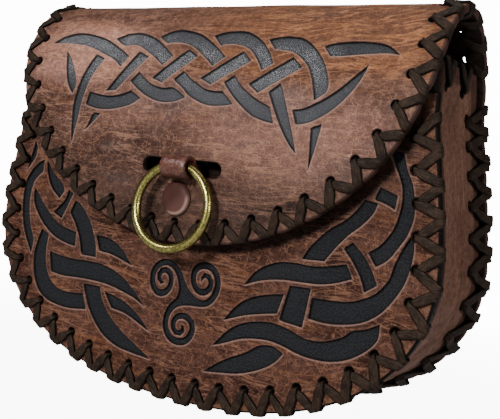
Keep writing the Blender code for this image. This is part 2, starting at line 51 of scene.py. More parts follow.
# Sizes of the solids, in agreement with the part's source
LEATHER = 2.6
SEAM_GAP = 0.3
WIDEST_Z = 54.8
FLAP_Y = -24.378
FRONT_Y = -18.178
BACK_Y = 24.122
FOLD_START = 92.4
FOLD_HEIGHT = 40.4
FOLD_DEPTH = BACK_Y - FLAP_Y
PANEL_HALF_WIDTH = 85.5
PANEL_DROP = 53.5
PANEL_RISE = 50.0
PANEL_ROUNDNESS = 2.25
SHOULDER_HALF_WIDTH = 79.0
SHOULDER_RISE = 44.0
SHOULDER_CURVE = 1.3
PANEL_MARGIN = 6.9
PANEL_PITCH = 9.3
FRONT_LACE_RISE = 43.0
SEAM_TOP_CLEARANCE = 7.0
FLAP_HALF_WIDTH = 79.0
FLAP_ROUND_DROP = 66.0
FLAP_EDGE_BELOW_FOLD = 39.6
FLAP_CENTRE_Z = FOLD_START - FLAP_EDGE_BELOW_FOLD + FLAP_ROUND_DROP
FLAP_MARGIN = 6.0
FLAP_PITCH = 9.5
FLAP_PITCH_LEFT = 9.37
FLAP_PITCH_RIGHT = 9.63
FLAP_LOWEST_HOLE = -1.5
FLAP_END_CLEARANCE = 5.7
GUSSET_INSET = 2.0
GUSSET_TOP_RISE = 60.5
GUSSET_HOLE_FROM_BACK = 9.0
GUSSET_TOP_MARGIN = 7.5
GUSSET_TOP_FIRST = -7.0
GUSSET_TOP_PITCH = 13.0
CLOSURE_X = -1.5
SLOT_LENGTH = 31.0
SLOT_WIDTH = 4.8
SNAP_Z = 66.3
SNAP_HOLE_RADIUS = 2.3
SNAP_CAP_RADIUS = 5.5
SNAP_POST_RADIUS = 2.0
SNAP_HEAD_RADIUS = 4.2
SNAP_HEAD_THICKNESS = 1.0
LOOP_X = 0.5
LOOP_Y = -28.341
LOOP_Z = 76.4
LOOP_WIDTH = 9.6
LOOP_LEATHER = 1.3
LOOP_RADIUS = 3.663
LOOP_FOOT_TOP = LOOP_Z + 8.8
LOOP_FOOT_BOTTOM = LOOP_Z - 4.9
RING_DROP = 12.748
RING_RADIUS = 13.2
RING_WIRE = 1.5
RING_TURN = 4.0
RING_LEAN = 5.0
BELT_LOOP_X = 38.0
BELT_LOOP_WIDTH = 26.0
BELT_LOOP_HEIGHT = 70.0
BELT_LOOP_BOTTOM = WIDEST_Z - 37.0
BELT_LOOP_LIFT = 5.2
BELT_LOOP_PAD = 9.0
BELT_LOOP_RAMP = 4.4

# Finish
HOLE_RADIUS = 1.35
LACE_WIDTH = 2.95
LACE_NECK = 0.66
LACE_THICKNESS = 0.9
LACE_SEAT = 0.5
LACE_TWIST = 0.32
LACE_SLACK = 0.05
LACE_WANDER = 0.07
LACE_BEND = 1.5
LACE_STEP = 0.9
THONG_SHIFT = 3000.0
SCALLOP = 0.5
TOOLING_DEPTH = 0.62
TOOLING_WALL = 0.36
RIM_WIDTH = 9.0
GUSSET_SAG = 0.7
GUSSET_CREASE = 1.1
STITCH_RADIUS = 0.38


# Lines and places
def unit(vectors):
    return vectors / np.linalg.norm(vectors, axis=-1, keepdims=True)


def columns(rows, places, at):
    """The columns of some rows, read between their places."""
    return np.stack([np.interp(at, places, column) for column in rows.T], axis=-1)


def inward(line, side=1.0):
    """Directions into the leather along a line."""
    along = unit(np.gradient(line, axis=0))
    return side * np.stack([-along[:, 1], along[:, 0]], axis=1)


def lengths(line):
    return np.concatenate([[0.0], np.cumsum(np.linalg.norm(np.diff(line, axis=0), axis=1))])


def evenly(line, count):
    """Points at even steps from the start of a line to its end."""
    line = np.asarray(line, float)
    run = lengths(line)
    return columns(line, run, np.linspace(0.0, run[-1], count))


def even_line(points, step=1.0):
    """An odd number of points at even steps, so that one lies in the middle."""
    return evenly(points, max(3, int(round(lengths(points)[-1] / step)) // 2 * 2 + 1))


def closed(loop):
    return np.vstack([loop, loop[:1]])


def mirrored(right_side):
    return [(-x, z) for x, z in right_side[:0:-1]] + list(right_side)


def panel_half_width(rise):
    share = min(rise / SHOULDER_RISE, 1.0)
    return PANEL_HALF_WIDTH - (PANEL_HALF_WIDTH - SHOULDER_HALF_WIDTH) * share ** SHOULDER_CURVE


def panel_line(top_rise):
    """The D outline from left top through the bottom to right top, about its widest line."""
    power = 2.0 / PANEL_ROUNDNESS
    side = [(PANEL_HALF_WIDTH * math.sin(turn) ** power, -PANEL_DROP * math.cos(turn) ** power)
            for turn in np.linspace(0.0, math.pi / 2, 90)]
    side += [(panel_half_width(rise), rise) for rise in [*np.arange(1.0, top_rise, 1.0), top_rise]]
    return even_line(mirrored(side))


TURNS = np.linspace(0.0, math.pi, 721)
FOLD_LINE = np.stack([FLAP_Y + FOLD_DEPTH / 2 * (1 - np.cos(TURNS)),
                      FOLD_START + FOLD_HEIGHT * np.sin(TURNS)], axis=1)
FOLD_LENGTHS = lengths(FOLD_LINE)
FOLD_ARC = FOLD_LENGTHS[-1]
FOLD_END = FOLD_START + FOLD_ARC
BACK_TOP = FOLD_END + FOLD_START - WIDEST_Z


def flap_line():
    side = [(FLAP_HALF_WIDTH * math.sin(turn), FLAP_CENTRE_Z - FLAP_ROUND_DROP * math.cos(turn))
            for turn in np.linspace(0.0, math.pi / 2, 90)]
    top = BACK_TOP - GUSSET_TOP_RISE
    side += [(FLAP_HALF_WIDTH, v) for v in [*np.arange(FLAP_CENTRE_Z + 1, top, 1.0), top]]
    return even_line(mirrored(side))


def ripple(points, scale, seed):
    """Soft noise from -1 to 1 at flat points."""
    return np.array([noise.noise(Vector((a / scale, b / scale, seed))) for a, b in points])


def swell(points, seed, size):
    return size * (ripple(points, 34.0, seed) + 0.35 * ripple(points, 13.0, seed + 5.0))


def lay_front(points, depth):
    return np.stack([points[:, 0], FRONT_Y + depth - swell(points, 3.0, 0.35), points[:, 1]], axis=1)


def fold_at(run):
    """Places (y, z) on the fold's outer face at lengths along it, and the directions out of it."""
    turn = np.interp(run, FOLD_LENGTHS, TURNS)
    out = np.stack([-FOLD_HEIGHT * np.cos(turn), FOLD_DEPTH / 2 * np.sin(turn)], axis=1)
    return columns(FOLD_LINE, FOLD_LENGTHS, run), unit(out)


def lay_wrap(points, depth):
    """Height up the flap, then the length over the fold and down the back, which stays flat."""
    v = points[:, 1]
    place, out = fold_at(np.clip(v - FOLD_START, 0.0, FOLD_ARC))
    place[:, 1] += np.minimum(v - FOLD_START, 0.0) - np.maximum(v - FOLD_END, 0.0)
    deep = depth - swell(points, 9.0, 0.4) * np.clip((FOLD_END - v) / 20.0, 0.0, 1.0)
    return np.column_stack([points[:, 0], place - out * deep[:, None]])


PANEL_AROUND = panel_line(GUSSET_TOP_RISE + PANEL_PITCH)
GUSSET_LINE = PANEL_AROUND + inward(PANEL_AROUND) * GUSSET_INSET + np.array([0.0, WIDEST_Z])
GUSSET_INWARD = inward(GUSSET_LINE)
GUSSET_STEPS = np.arange(len(GUSSET_LINE))
GUSSET_HALF = len(GUSSET_LINE) // 2
GUSSET_LENGTH = lengths(GUSSET_LINE) - lengths(GUSSET_LINE)[GUSSET_HALF]
GUSSET_TOP = float(np.interp(WIDEST_Z + GUSSET_TOP_RISE, GUSSET_LINE[GUSSET_HALF:, 1],
                             GUSSET_LENGTH[GUSSET_HALF:]))
GUSSET_FRONT = FRONT_Y + LEATHER + 1.7
GUSSET_BACK = BACK_Y - LEATHER - SEAM_GAP


def lay_gusset(points, depth):
    """Length round the bag and depth from front to back. The strip sags and is creased at the front seam."""
    at = np.interp(points[:, 0], GUSSET_LENGTH, GUSSET_STEPS)
    behind = points[:, 1] - GUSSET_FRONT
    share = np.clip(behind / (GUSSET_BACK - 11 - GUSSET_FRONT), 0.0, 1.0)
    sag = GUSSET_SAG * np.sin(share * math.pi) ** 2 * (1.0 + 0.8 * ripple(points, 30.0, 21.0))
    crease = GUSSET_CREASE * np.exp(-(np.maximum(behind, 0.0) / 2.4) ** 2)
    line, normal = (columns(rows, GUSSET_STEPS, at) for rows in (GUSSET_LINE, GUSSET_INWARD))
    x, z = (line + normal * (depth + sag + crease)[:, None]).T
    return np.stack([x, points[:, 1], z], axis=1)


def gusset_back(z):
    """How far back the gusset reaches under the fold at a height."""
    place, out = fold_at(FOLD_LENGTHS[len(TURNS) // 2:])
    under = place - out * (LEATHER + SEAM_GAP)
    return np.where(z <= FOLD_START, GUSSET_BACK, np.interp(z, under[::-1, 1], under[::-1, 0]))


class Seam:
    """A row of lace holes along an edge. Stations are numbered from the middle one."""

    def __init__(self, line, margin, spot, first, last, side=1.0):
        self.line, self.margin, self.spot, self.first, self.last = line, margin, spot, first, last
        self.inward = inward(line, side)
        run = lengths(line + self.inward * margin)
        self.run = run - run[len(line) // 2]

    def flat(self, station, inset):
        """Flat points at some stations, set in from the edge."""
        steps = np.arange(len(self.line))
        at = np.interp(self.spot(np.asarray(station, float)), self.run, steps)
        inner = unit(columns(self.inward, steps, at))
        return columns(self.line, steps, at) + inner * np.asarray(inset, float)[:, None]

    def holes(self):
        stations = np.arange(self.first, self.last + 1)
        return self.flat(stations, np.full(len(stations), self.margin))


def reach(line, margin, top):
    """Length along the hole line from its middle up to a height."""
    holes = line + inward(line) * margin
    run = lengths(holes)
    half = len(line) // 2
    return float(np.interp(top, holes[half:, 1], run[half:] - run[half]))


# Charts of the tooling, read off the photograph: width and height in millimetres
CHART_ZERO = 58.8
FLAP_CHART = [
    [(-68.5, 57.6), (-64.5, 60.4), (-60, 62), (-55, 62.4), (-50, 61.6), (-44, 60), (-40, 58.4), (-35, 55.9),
     (-30.5, 53.3), (-33, 49.3), (-37, 51.9), (-42, 53.8), (-47, 55.6), (-52, 56.9), (-60, 57.7)],
    [(-39.8, 60), (-37, 61.5), (-34, 62.5), (-30, 62.8), (-26, 62), (-22, 60.5), (-17, 57.5), (-12, 53.8),
     (-15.5, 50.3), (-20, 53.3), (-24, 55.5), (-28, 57.3), (-31, 57.6), (-34.3, 57.3)],
    [(-20.8, 61), (-18, 63), (-14, 64.3), (-10, 64), (-5, 62.8), (0, 60.2), (5, 56.8), (8.8, 53.8),
     (4.8, 50.5), (0, 54), (-5, 57.2), (-9, 58.6), (-13, 58.9), (-16.3, 58.4)],
    [(1, 61.8), (5, 63.3), (9, 63.8), (12, 63.8), (15, 63), (19, 60.8), (22, 58.5), (25, 55), (27, 52),
     (23.5, 49.5), (21, 52.8), (18, 55.8), (15, 57.5), (11, 58.4), (7.5, 58.3), (5.5, 57.8)],
    [(22.3, 60.5), (26, 61.6), (30, 61.9), (34, 61.3), (37.5, 59.5), (41, 56.5), (44, 53), (46, 49.5),
     (47.3, 46), (47, 43.5), (43.3, 40.9), (42.5, 44), (41, 48), (39, 51.3), (36, 54), (33, 55.8),
     (30, 56.5), (25.8, 56.9)],
    [(42.3, 58.3), (45, 59.5), (49, 60.1), (53, 60.3), (57, 60.1), (61, 59.5), (64, 58.3), (67.5, 55.6),
     (64, 56.1), (60, 56), (55, 55.6), (50, 55.1), (45.5, 54.8)],
    [(-26.8, 55.3), (-22, 53.3), (-32.5, 41), (-37, 40.5)],
    [(-6.8, 56.6), (-2, 54), (-13.8, 44.3), (-18.5, 45.8)],
    [(15, 56), (19, 52.5), (5.8, 44.3), (1, 46.3)],
    [(33.3, 54.4), (37.3, 51), (23.8, 42.3), (19.8, 45)],
    [(-44, 40.1), (-40, 39.4), (-35, 39), (-30, 39.8), (-26, 41.3), (-21.3, 38.8), (-25, 36.5), (-30, 35),
     (-35, 34.3), (-40, 34.4), (-45, 35.4)],
    [(-24.3, 48), (-21, 45.5), (-17, 43.5), (-13, 42.7), (-8.5, 42.9), (-3, 39.8), (-7, 38.4), (-12, 37.9),
     (-17, 38.8), (-22, 41), (-27.3, 44.4)],
    [(-6, 48.8), (-2, 46), (0, 45), (4, 43), (7.5, 42.4), (11, 42.4), (15.8, 38.4), (12, 37.8), (7, 37.6),
     (3, 38.4), (-2, 40.5), (-5, 42.8), (-9.5, 45.6)],
    [(14.3, 47.9), (17, 45), (20, 42.8), (24, 40.5), (29, 38.4), (31, 33.3), (27, 34), (23, 35.3),
     (19, 37.8), (15, 41), (10.5, 45.3)],
    [(31.3, 45.9), (33, 42.5), (35, 38), (37, 33), (38.5, 29), (39.8, 25), (37.5, 27), (34, 31.5),
     (31, 36.5), (27.5, 43)],
    [(36.5, 38), (40, 38.5), (43, 39.8), (47, 42), (51, 45), (55, 49), (58.8, 52.8), (57.5, 48.5), (55, 44),
     (51, 39.5), (47, 36.5), (43, 34.5), (38.5, 33.4)],
    [(43.6, 33), (47.3, 34.4), (46, 27.5), (44.4, 20.1)],
    [(-59.8, 54.8), (-58.5, 51), (-57, 47), (-55, 42.5), (-51.8, 38.8), (-50.8, 42), (-52, 45.5), (-55, 50),
     (-57.5, 52.8)],
    [(-45.3, 53.8), (-47.5, 49), (-49, 45), (-50, 40), (-50.6, 35), (-50.5, 30), (-50, 25), (-49.2, 21.8),
     (-48.8, 25), (-47.8, 30), (-47, 35), (-46, 40), (-44.5, 45), (-42.5, 49), (-40.8, 52.1)],
    [(-41, 33), (-37.5, 32.8), (-44, 26.3)],
]
FRONT_CHART = [
    [(66.4, 29), (71.0, 28.4), (72.6, 23.8), (74.7, 19.7), (75.9, 15), (76.2, 10.3), (75, 5.6), (72.6, 1.5),
     (70, -2.1), (66.5, -4.7), (63.5, -0.8), (66.8, 1.5), (70, 5.9), (71.5, 10.3), (72, 15), (71.2, 19.7),
     (68.8, 24.4)],
    [(65, 18.2), (70.6, 16.2), (70.3, 12), (67.9, 13.2), (63.5, 14.4)],
    [(60.6, 14.1), (65, 13.5), (63.8, 10.3), (60.9, 6.8), (56.8, 3.2), (53.2, -0.9), (50, -5.3),
     (42.4, -5.7), (44.4, -2.1), (47.4, 1.5), (50.9, 4.7), (55, 7.4), (58.5, 10.9)],
    [(58.5, 1.5), (62, -1.5), (65, -5), (67.6, -9.7), (63.8, -12.4), (62.4, -9.1), (59.7, -5), (55.6, -0.6)],
    [(23.2, -16.5), (26.2, -12.4), (29.7, -9.7), (35, -7.6), (40.9, -7.1), (46.8, -7.2), (52.6, -6.2),
     (57.4, -5), (59.7, -9.1), (55, -10.9), (49.7, -12.2), (43.2, -12.6), (36.2, -12.9), (29.7, -14.1)],
    [(17.1, -28.6), (20.3, -24.4), (24.4, -20.9), (30.3, -18.5), (37.9, -16.9), (36.2, -23.2), (30.3, -24.4),
     (24.4, -25.9)],
    [(39.4, -14.1), (46.8, -13.8), (45.3, -25.9), (37.1, -25)],
    [(47.4, -16.5), (53.8, -16.2), (59.7, -15.6), (64.4, -13.8), (67.9, -11.5), (70.9, -7.4), (72, -3.2),
     (73.8, 1.5), (76.6, 6.5), (77.4, 1.5), (77, -3.2), (75.6, -8.5), (72.6, -13.8), (69.1, -17.9),
     (64.4, -20.9), (58.5, -22.6), (52.6, -23.2), (46.8, -22.8)],
    [(14.1, -37.1), (18.5, -32.1), (22.6, -29.1), (27.9, -27.1), (35, -26.2), (40.9, -27.1), (46.8, -28.8),
     (52.6, -28.5), (58.5, -26.2), (61.5, -23.8), (65.6, -22.6), (70, -20.3), (69.7, -25), (66.2, -29.1),
     (60.9, -32.4), (55, -34.1), (49.1, -34.3), (44.4, -33.8), (39.7, -32.6), (35, -31.9), (30.3, -32.1),
     (24.4, -33.2), (18.5, -35.6)],
    [(11.8, -45.9), (16.2, -42.6), (20.9, -39.7), (26.8, -36.8), (31.5, -33.8), (36.2, -33.2), (40, -34.7),
     (37.9, -37.4), (35, -39.7), (30.3, -42.1), (24.4, -44.1), (18.5, -45)],
    [(-73.4, 21.8), (-71.9, 19.1), (-72.5, 15.6), (-74.8, 12.4), (-76.3, 10)],
    [(-67.8, 15.3), (-71.3, 13.2), (-74.5, 9.7), (-76.3, 5.6), (-76.7, 0.3), (-76.3, -4.4), (-75.1, -9.1),
     (-73.1, -13.8), (-69.6, -19.4), (-68.9, -14.4), (-70.7, -10.3), (-72.2, -5.6), (-72.9, -0.9),
     (-72.6, 3.8), (-71.3, 7.4), (-67.8, 10.9)],
    [(-66.3, 15), (-66.3, 13.2), (-65.1, 9.1), (-62.5, 5), (-58.4, 1.9), (-56.3, 4.7), (-57.2, 6.8),
     (-60.1, 9.1), (-62.5, 10.9)],
    [(-54.5, 5.6), (-51.9, 4.4), (-56.3, -5.1), (-60.7, -3.2), (-56, 1.5)],
    [(-71.2, 5), (-71.3, 1.5), (-70.4, -1.5), (-67.8, -5), (-64.2, -8.5), (-59.5, -11.5), (-54.2, -13.2),
     (-48.4, -14.1), (-48.4, -9.1), (-53, -8.2), (-57.8, -6.8), (-61.3, -4.4), (-65.4, -0.9), (-68.9, 2.6)],
    [(-50.7, 2.1), (-52.6, -2.5), (-49.5, -6.2), (-46.9, -10.9), (-45.1, -16.5), (-38.2, -16.5),
     (-38.9, -12.6), (-40.7, -7.9), (-43.6, -3.2), (-47.8, 0.9)],
    [(-39.2, -8.8), (-34.8, -9), (-30.7, -10), (-26.6, -12.4), (-21.9, -17.2), (-27.2, -15.6),
     (-31.9, -14.5), (-37.2, -14.1)],
    [(-60.4, -17.2), (-54.2, -18.1), (-48.4, -18.4), (-41.3, -18.2), (-35.4, -18.4), (-29.5, -19.7),
     (-24.2, -22.1), (-19.5, -25.6), (-14.8, -29.7), (-20.1, -27.6), (-26, -26.1), (-31.9, -25),
     (-38.9, -24.6), (-46, -24.7), (-53.1, -25), (-58.6, -24.4)],
    [(-65.4, -9.7), (-67.2, -15), (-68.1, -19.7), (-67.5, -25), (-66, -29.1), (-63.1, -32.6), (-58.9, -34.7),
     (-53.1, -35.8), (-47.2, -35.9), (-40.1, -35), (-42.2, -29.7), (-48.4, -30.3), (-53.1, -30),
     (-57.2, -28.2), (-60.1, -25), (-61.6, -20.9), (-62, -16.2), (-61.6, -11.5)],
    [(-42.5, -26.2), (-41.3, -29.7), (-38.9, -34.4), (-35.4, -38.8), (-30.7, -42.6), (-24.8, -45),
     (-18.4, -45.9), (-9.5, -46.5), (-15.4, -43.5), (-21.3, -40.6), (-26.6, -37.4), (-30.7, -33.8),
     (-33.6, -29.7), (-34.9, -26.1)],
    [(-32.8, -27.4), (-28.4, -28.2), (-23.1, -29.7), (-16.6, -33.2), (-11.4, -37.6), (-16.6, -35.6),
     (-22.5, -33.5), (-28.9, -32.6)],
]
# The three arms of the spiral: rows of width, height and half breadth, from the body to the tip
SPIRAL_LEFT = [(-0.15, -20, 1.4), (-1.6, -17.2, 1.15), (-3.4, -15.1, 1.05), (-5.7, -13.95, 1),
               (-8, -13.8, 1), (-10.4, -14.8, 1), (-12.1, -16.8, 1.05), (-12.7, -19.3, 1.05),
               (-12.2, -21.8, 1.05), (-10.7, -23.6, 1.05), (-8.7, -24.1, 1.05), (-6.6, -23.4, 1),
               (-5.2, -21.6, 0.95), (-4.8, -19.3, 0.9), (-5.6, -17.3, 0.9), (-7.3, -16.3, 0.9),
               (-9, -16.7, 0.9), (-9.95, -18.1, 0.85), (-9.8, -19.6, 0.8), (-8.8, -20.6, 0.6),
               (-7.3, -20.5, 0.0)]
SPIRAL_LOW = [(-2.9, -27.3, 1.2), (-4.3, -29.2, 1.1), (-5.1, -31.5, 1.05), (-5.1, -34, 1.05),
              (-4.1, -36.3, 1.05), (-2.1, -38, 1.05), (0.6, -38.5, 1.05), (3.2, -37.9, 1.05),
              (5, -36.2, 1.05), (5.8, -33.8, 1.05), (5.3, -31.6, 1), (3.5, -30.3, 0.95), (1.2, -30, 0.9),
              (-0.8, -30.8, 0.9), (-1.9, -32.6, 0.9), (-1.7, -34.5, 0.9), (-0.4, -35.7, 0.85),
              (1.2, -35.6, 0.8), (2.2, -34.6, 0.7), (1.9, -33.4, 0.45), (1, -32.8, 0.0)]
SPIRAL_RIGHT = [(7.2, -24.9, 1.05), (9.6, -24.6, 0.95), (11.6, -23.2, 1), (13, -21, 1.05),
                (13.6, -18.5, 1.05), (13.2, -16, 1.05), (12, -14.1, 1.05), (10.3, -12.9, 1.05),
                (8.2, -12.6, 1.05), (6.1, -13.1, 1.05), (4.5, -14.5, 1.05), (3.9, -16.6, 1),
                (4.3, -18.8, 0.95), (5.7, -20.6, 0.95), (7.7, -21.3, 0.95), (9.6, -20.7, 0.95),
                (10.8, -19.2, 0.95), (10.9, -17.4, 0.95), (9.9, -16, 0.85), (8.4, -15.8, 0.7),
                (7.4, -16.8, 0.45), (7.2, -18.3, 0.0)]
SPIRAL_JOINS = [[(-1.4, -22.3), (-2.0, -24.6)], [(0.6, -26.9), (3.5, -26.35)], [(5.1, -22.9), (3.2, -21.5)]]


def spline(points, step):
    """A smooth open run through its points, at even steps, without its last point."""
    points = np.array(points, float)
    least = 1
    if len(points) > 2:
        ends = np.vstack([2 * points[0] - points[1], points, 2 * points[-1] - points[-2]])
        t = np.linspace(0.0, 1.0, 12, endpoint=False)[:, None]
        fine = [0.5 * (2 * b + (c - a) * t + (2 * a - 5 * b + 4 * c - d) * t ** 2
                       + (3 * b - a - 3 * c + d) * t ** 3)
                for a, b, c, d in zip(ends, ends[1:], ends[2:], ends[3:])]
        points, least = np.vstack(fine + [points[-1:]]), 2
    return evenly(points, max(least, int(round(lengths(points)[-1] / step))) + 1)[:-1]


def smooth_loop(chart, step=0.6, sharp=38.0):
    """A closed chart as smooth runs between its sharp corners."""
    points = np.array(chart, float)
    behind, ahead = points - np.roll(points, 1, axis=0), np.roll(points, -1, axis=0) - points
    cross = behind[:, 0] * ahead[:, 1] - behind[:, 1] * ahead[:, 0]
    turn = np.degrees(np.abs(np.arctan2(cross, np.sum(behind * ahead, axis=1))))
    corners = np.flatnonzero(turn > sharp)
    runs = []
    for start, stop in zip(corners, np.roll(corners, -1)):
        count = (stop - start) % len(points) or len(points)
        runs.append(spline(points[(start + np.arange(count + 1)) % len(points)], step))
    return np.vstack(runs)


def spiral_chart():
    """Each arm's outer side out to its tip, its inner side back, and the body's edge to the next arm."""
    loop = []
    for rows, join in zip((SPIRAL_LEFT, SPIRAL_LOW, SPIRAL_RIGHT), SPIRAL_JOINS):
        rows = np.array(rows, float)
        middle, half = rows[:, :2], rows[:, 2:]
        side = inward(middle) * (half + 0.14 * np.minimum(1.0, half / 0.4))
        loop += [*(middle - side), *(middle + side)[-2::-1], *join]
    return loop


def figures_from(charts):
    return [smooth_loop(chart) + np.array([0.0, CHART_ZERO]) for chart in charts]


# Sheets of leather
def inside(loop, points):
    """Which points lie within a closed loop."""
    found = np.zeros(len(points), bool)
    near = np.flatnonzero(np.all((points >= loop.min(axis=0)) & (points <= loop.max(axis=0)), axis=1))
    (x1, y1), (x2, y2) = loop.T, np.roll(loop, -1, axis=0).T
    rise = np.where(y2 == y1, 1.0, y2 - y1)
    for part in np.array_split(near, max(1, len(near) // 4000)):
        x, y = points[part].T[:, :, None]
        crosses = (y1 > y) != (y2 > y)
        found[part] = np.sum(crosses & (x < x1 + (y - y1) / rise * (x2 - x1)), axis=1) % 2 == 1
    return found


def within_sheet(borders, points):
    """Which points lie within the outline and outside the holes."""
    good = inside(borders[0], points)
    for hole in borders[1:]:
        good &= ~inside(hole, points)
    return good


def tree_of(points):
    tree = KDTree(len(points))
    for k, (a, b) in enumerate(points):
        tree.insert((a, b, 0.0), k)
    tree.balance()
    return tree


def edge_tree(loops, step=0.15):
    """A search tree over closed loops, for distances to their edges."""
    samples = []
    for loop in map(closed, loops):
        run = lengths(loop)
        samples.append(columns(loop, run, np.arange(0.0, run[-1], step)))
    return tree_of(np.vstack(samples))


def distances(tree, points):
    return np.array([tree.find((a, b, 0.0))[2] for a, b in points])


def twice_area(loop):
    """Twice the area of a closed loop, negative where it runs clockwise."""
    return np.sum(loop[:, 0] * np.roll(loop[:, 1], -1) - loop[:, 1] * np.roll(loop[:, 0], -1))


def loop_normals(loop, inner):
    """Unit normals of a closed loop, turned inward for an outline and outward for a hole."""
    along = unit(np.roll(loop, -1, axis=0) - np.roll(loop, 1, axis=0))
    normal = np.stack([-along[:, 1], along[:, 0]], axis=1)
    return normal * (1.0 if (twice_area(loop) > 0) == inner else -1.0)


def edge_facing(figures, points):
    """Which side of its figure the nearest edge is on, from 1 at the upper left to -1 at the lower right."""
    light = np.array([0.42, -0.91])
    facing = np.concatenate([loop_normals(loop, True) @ light for loop in figures])
    tree = tree_of(np.vstack(figures))
    return facing[[tree.find((a, b, 0.0))[1] for a, b in points]]


def triangulate(loops, free):
    """Triangles between an outline, its holes and its figures; the loops' own point numbers as well."""
    points, edges, starts = [], [], []
    for loop in loops:
        starts.append(len(points))
        points += [Vector(p) for p in loop]
        edges += [(starts[-1] + k, starts[-1] + (k + 1) % len(loop)) for k in range(len(loop))]
    points += [Vector(p) for p in free]
    flat, _, faces, origins, _, _ = delaunay_2d_cdt(points, edges, [], 0, 1e-4)
    where = {source: k for k, sources in enumerate(origins) for source in sources}
    numbers = [np.array([where[start + k] for k in range(len(loop))]) for loop, start in zip(loops, starts)]
    return np.array(flat), np.array(faces), numbers


def hex_grid(low, high, step):
    rows = []
    for k, v in enumerate(np.arange(low[1], high[1], step * 0.866)):
        u = np.arange(low[0] + (k % 2) * step / 2, high[0], step)
        rows.append(np.stack([u, np.full(len(u), v)], axis=1))
    return np.vstack(rows)


def jittered(points, size, seed):
    shift = np.stack([ripple(points, 1.7, seed), ripple(points, 1.7, seed + 3.0)], axis=1)
    return points + shift * size


# Rows of inset and depth round the cut edge and the holes, and the offsets of the point rows along a figure
EDGE_ROWS = [(0.9, 0.0), (0.5, 0.04), (0.18, 0.2), (0.02, 0.55), (0.0, 1.0), (0.0, LEATHER - 0.9),
             (0.05, LEATHER - 0.4), (0.25, LEATHER - 0.1), (0.6, LEATHER)]
HOLE_ROWS = [(0.55, 0.0), (0.22, 0.08), (0.04, 0.35), (0.0, 0.8), (0.0, LEATHER - 0.4), (0.3, LEATHER)]
FIGURE_OFFSETS = (0.13, 0.36, 0.85, -0.22, -0.65)
FIGURE_CLEARANCE = 1.1
ON_FACE, ON_EDGE, IN_HOLE, ON_BACK = 0.0, 1.0, 1.5, 2.0


def sheet_face(borders, free, gap, figures=()):
    """One face of a sheet: its points, its triangles, and the point numbers of its borders and figures."""
    free = free[within_sheet(borders, free)]
    free = free[distances(edge_tree(borders, 0.3), free) > gap]
    if figures:
        tree = edge_tree(figures)
        free = free[distances(tree, free) > FIGURE_CLEARANCE]
        for offset in FIGURE_OFFSETS:
            for loop in figures:
                row = loop + loop_normals(loop, True) * offset
                free = np.vstack([free, row[distances(tree, row) > 0.86 * abs(offset)]])
    flat, faces, numbers = triangulate([*borders, *figures], free)
    return flat, faces[within_sheet(borders, flat[faces].mean(axis=1))], numbers


def tooled(flat, figures, on_edge):
    """Depth of a tooled face, and its shares of ink, of dark ink along the walls with painted shade on the
    upper left, and of painted highlight on the walls at the lower right.
    """
    away = distances(edge_tree(figures), flat)
    within = np.any([inside(loop, flat) for loop in figures], axis=0)
    within[on_edge] = False
    away = np.where(away < 0.03, 0.0, np.where(within, away, -away))
    facing = edge_facing(figures, flat)
    share = np.clip(away / TOOLING_WALL, 0.0, 1.0)
    raised = 0.10 * np.exp(-((away + 0.3) / 0.28) ** 2)
    depth = TOOLING_DEPTH * share * share * (3 - 2 * share) - raised
    ink = np.clip((away - 0.02) / 0.12, 0.0, 1.0)
    # Dark ink along the inner foot of each wall, made heavier on the upper-left walls by painted shade.
    pooled_ink_and_shade = np.where(away > 0.0, np.exp(-((away - 0.20) / 0.40) ** 2), 0.0)
    pooled_ink_and_shade *= np.interp(facing, (-1.0, 0.0, 0.6), (0.65, 0.85, 1.0))
    # Painted highlight: a light band on the outer foot of the walls, strongest on the lower-right walls.
    painted_wall_light = np.interp(away, (-0.46, -0.22, -0.04, 0.06), (0.0, 1.0, 1.0, 0.0))
    painted_wall_light *= np.interp(facing, (-1.0, -0.3, 0.3), (1.0, 0.6, 0.15))
    return depth, ink, pooled_ink_and_shade, painted_wall_light


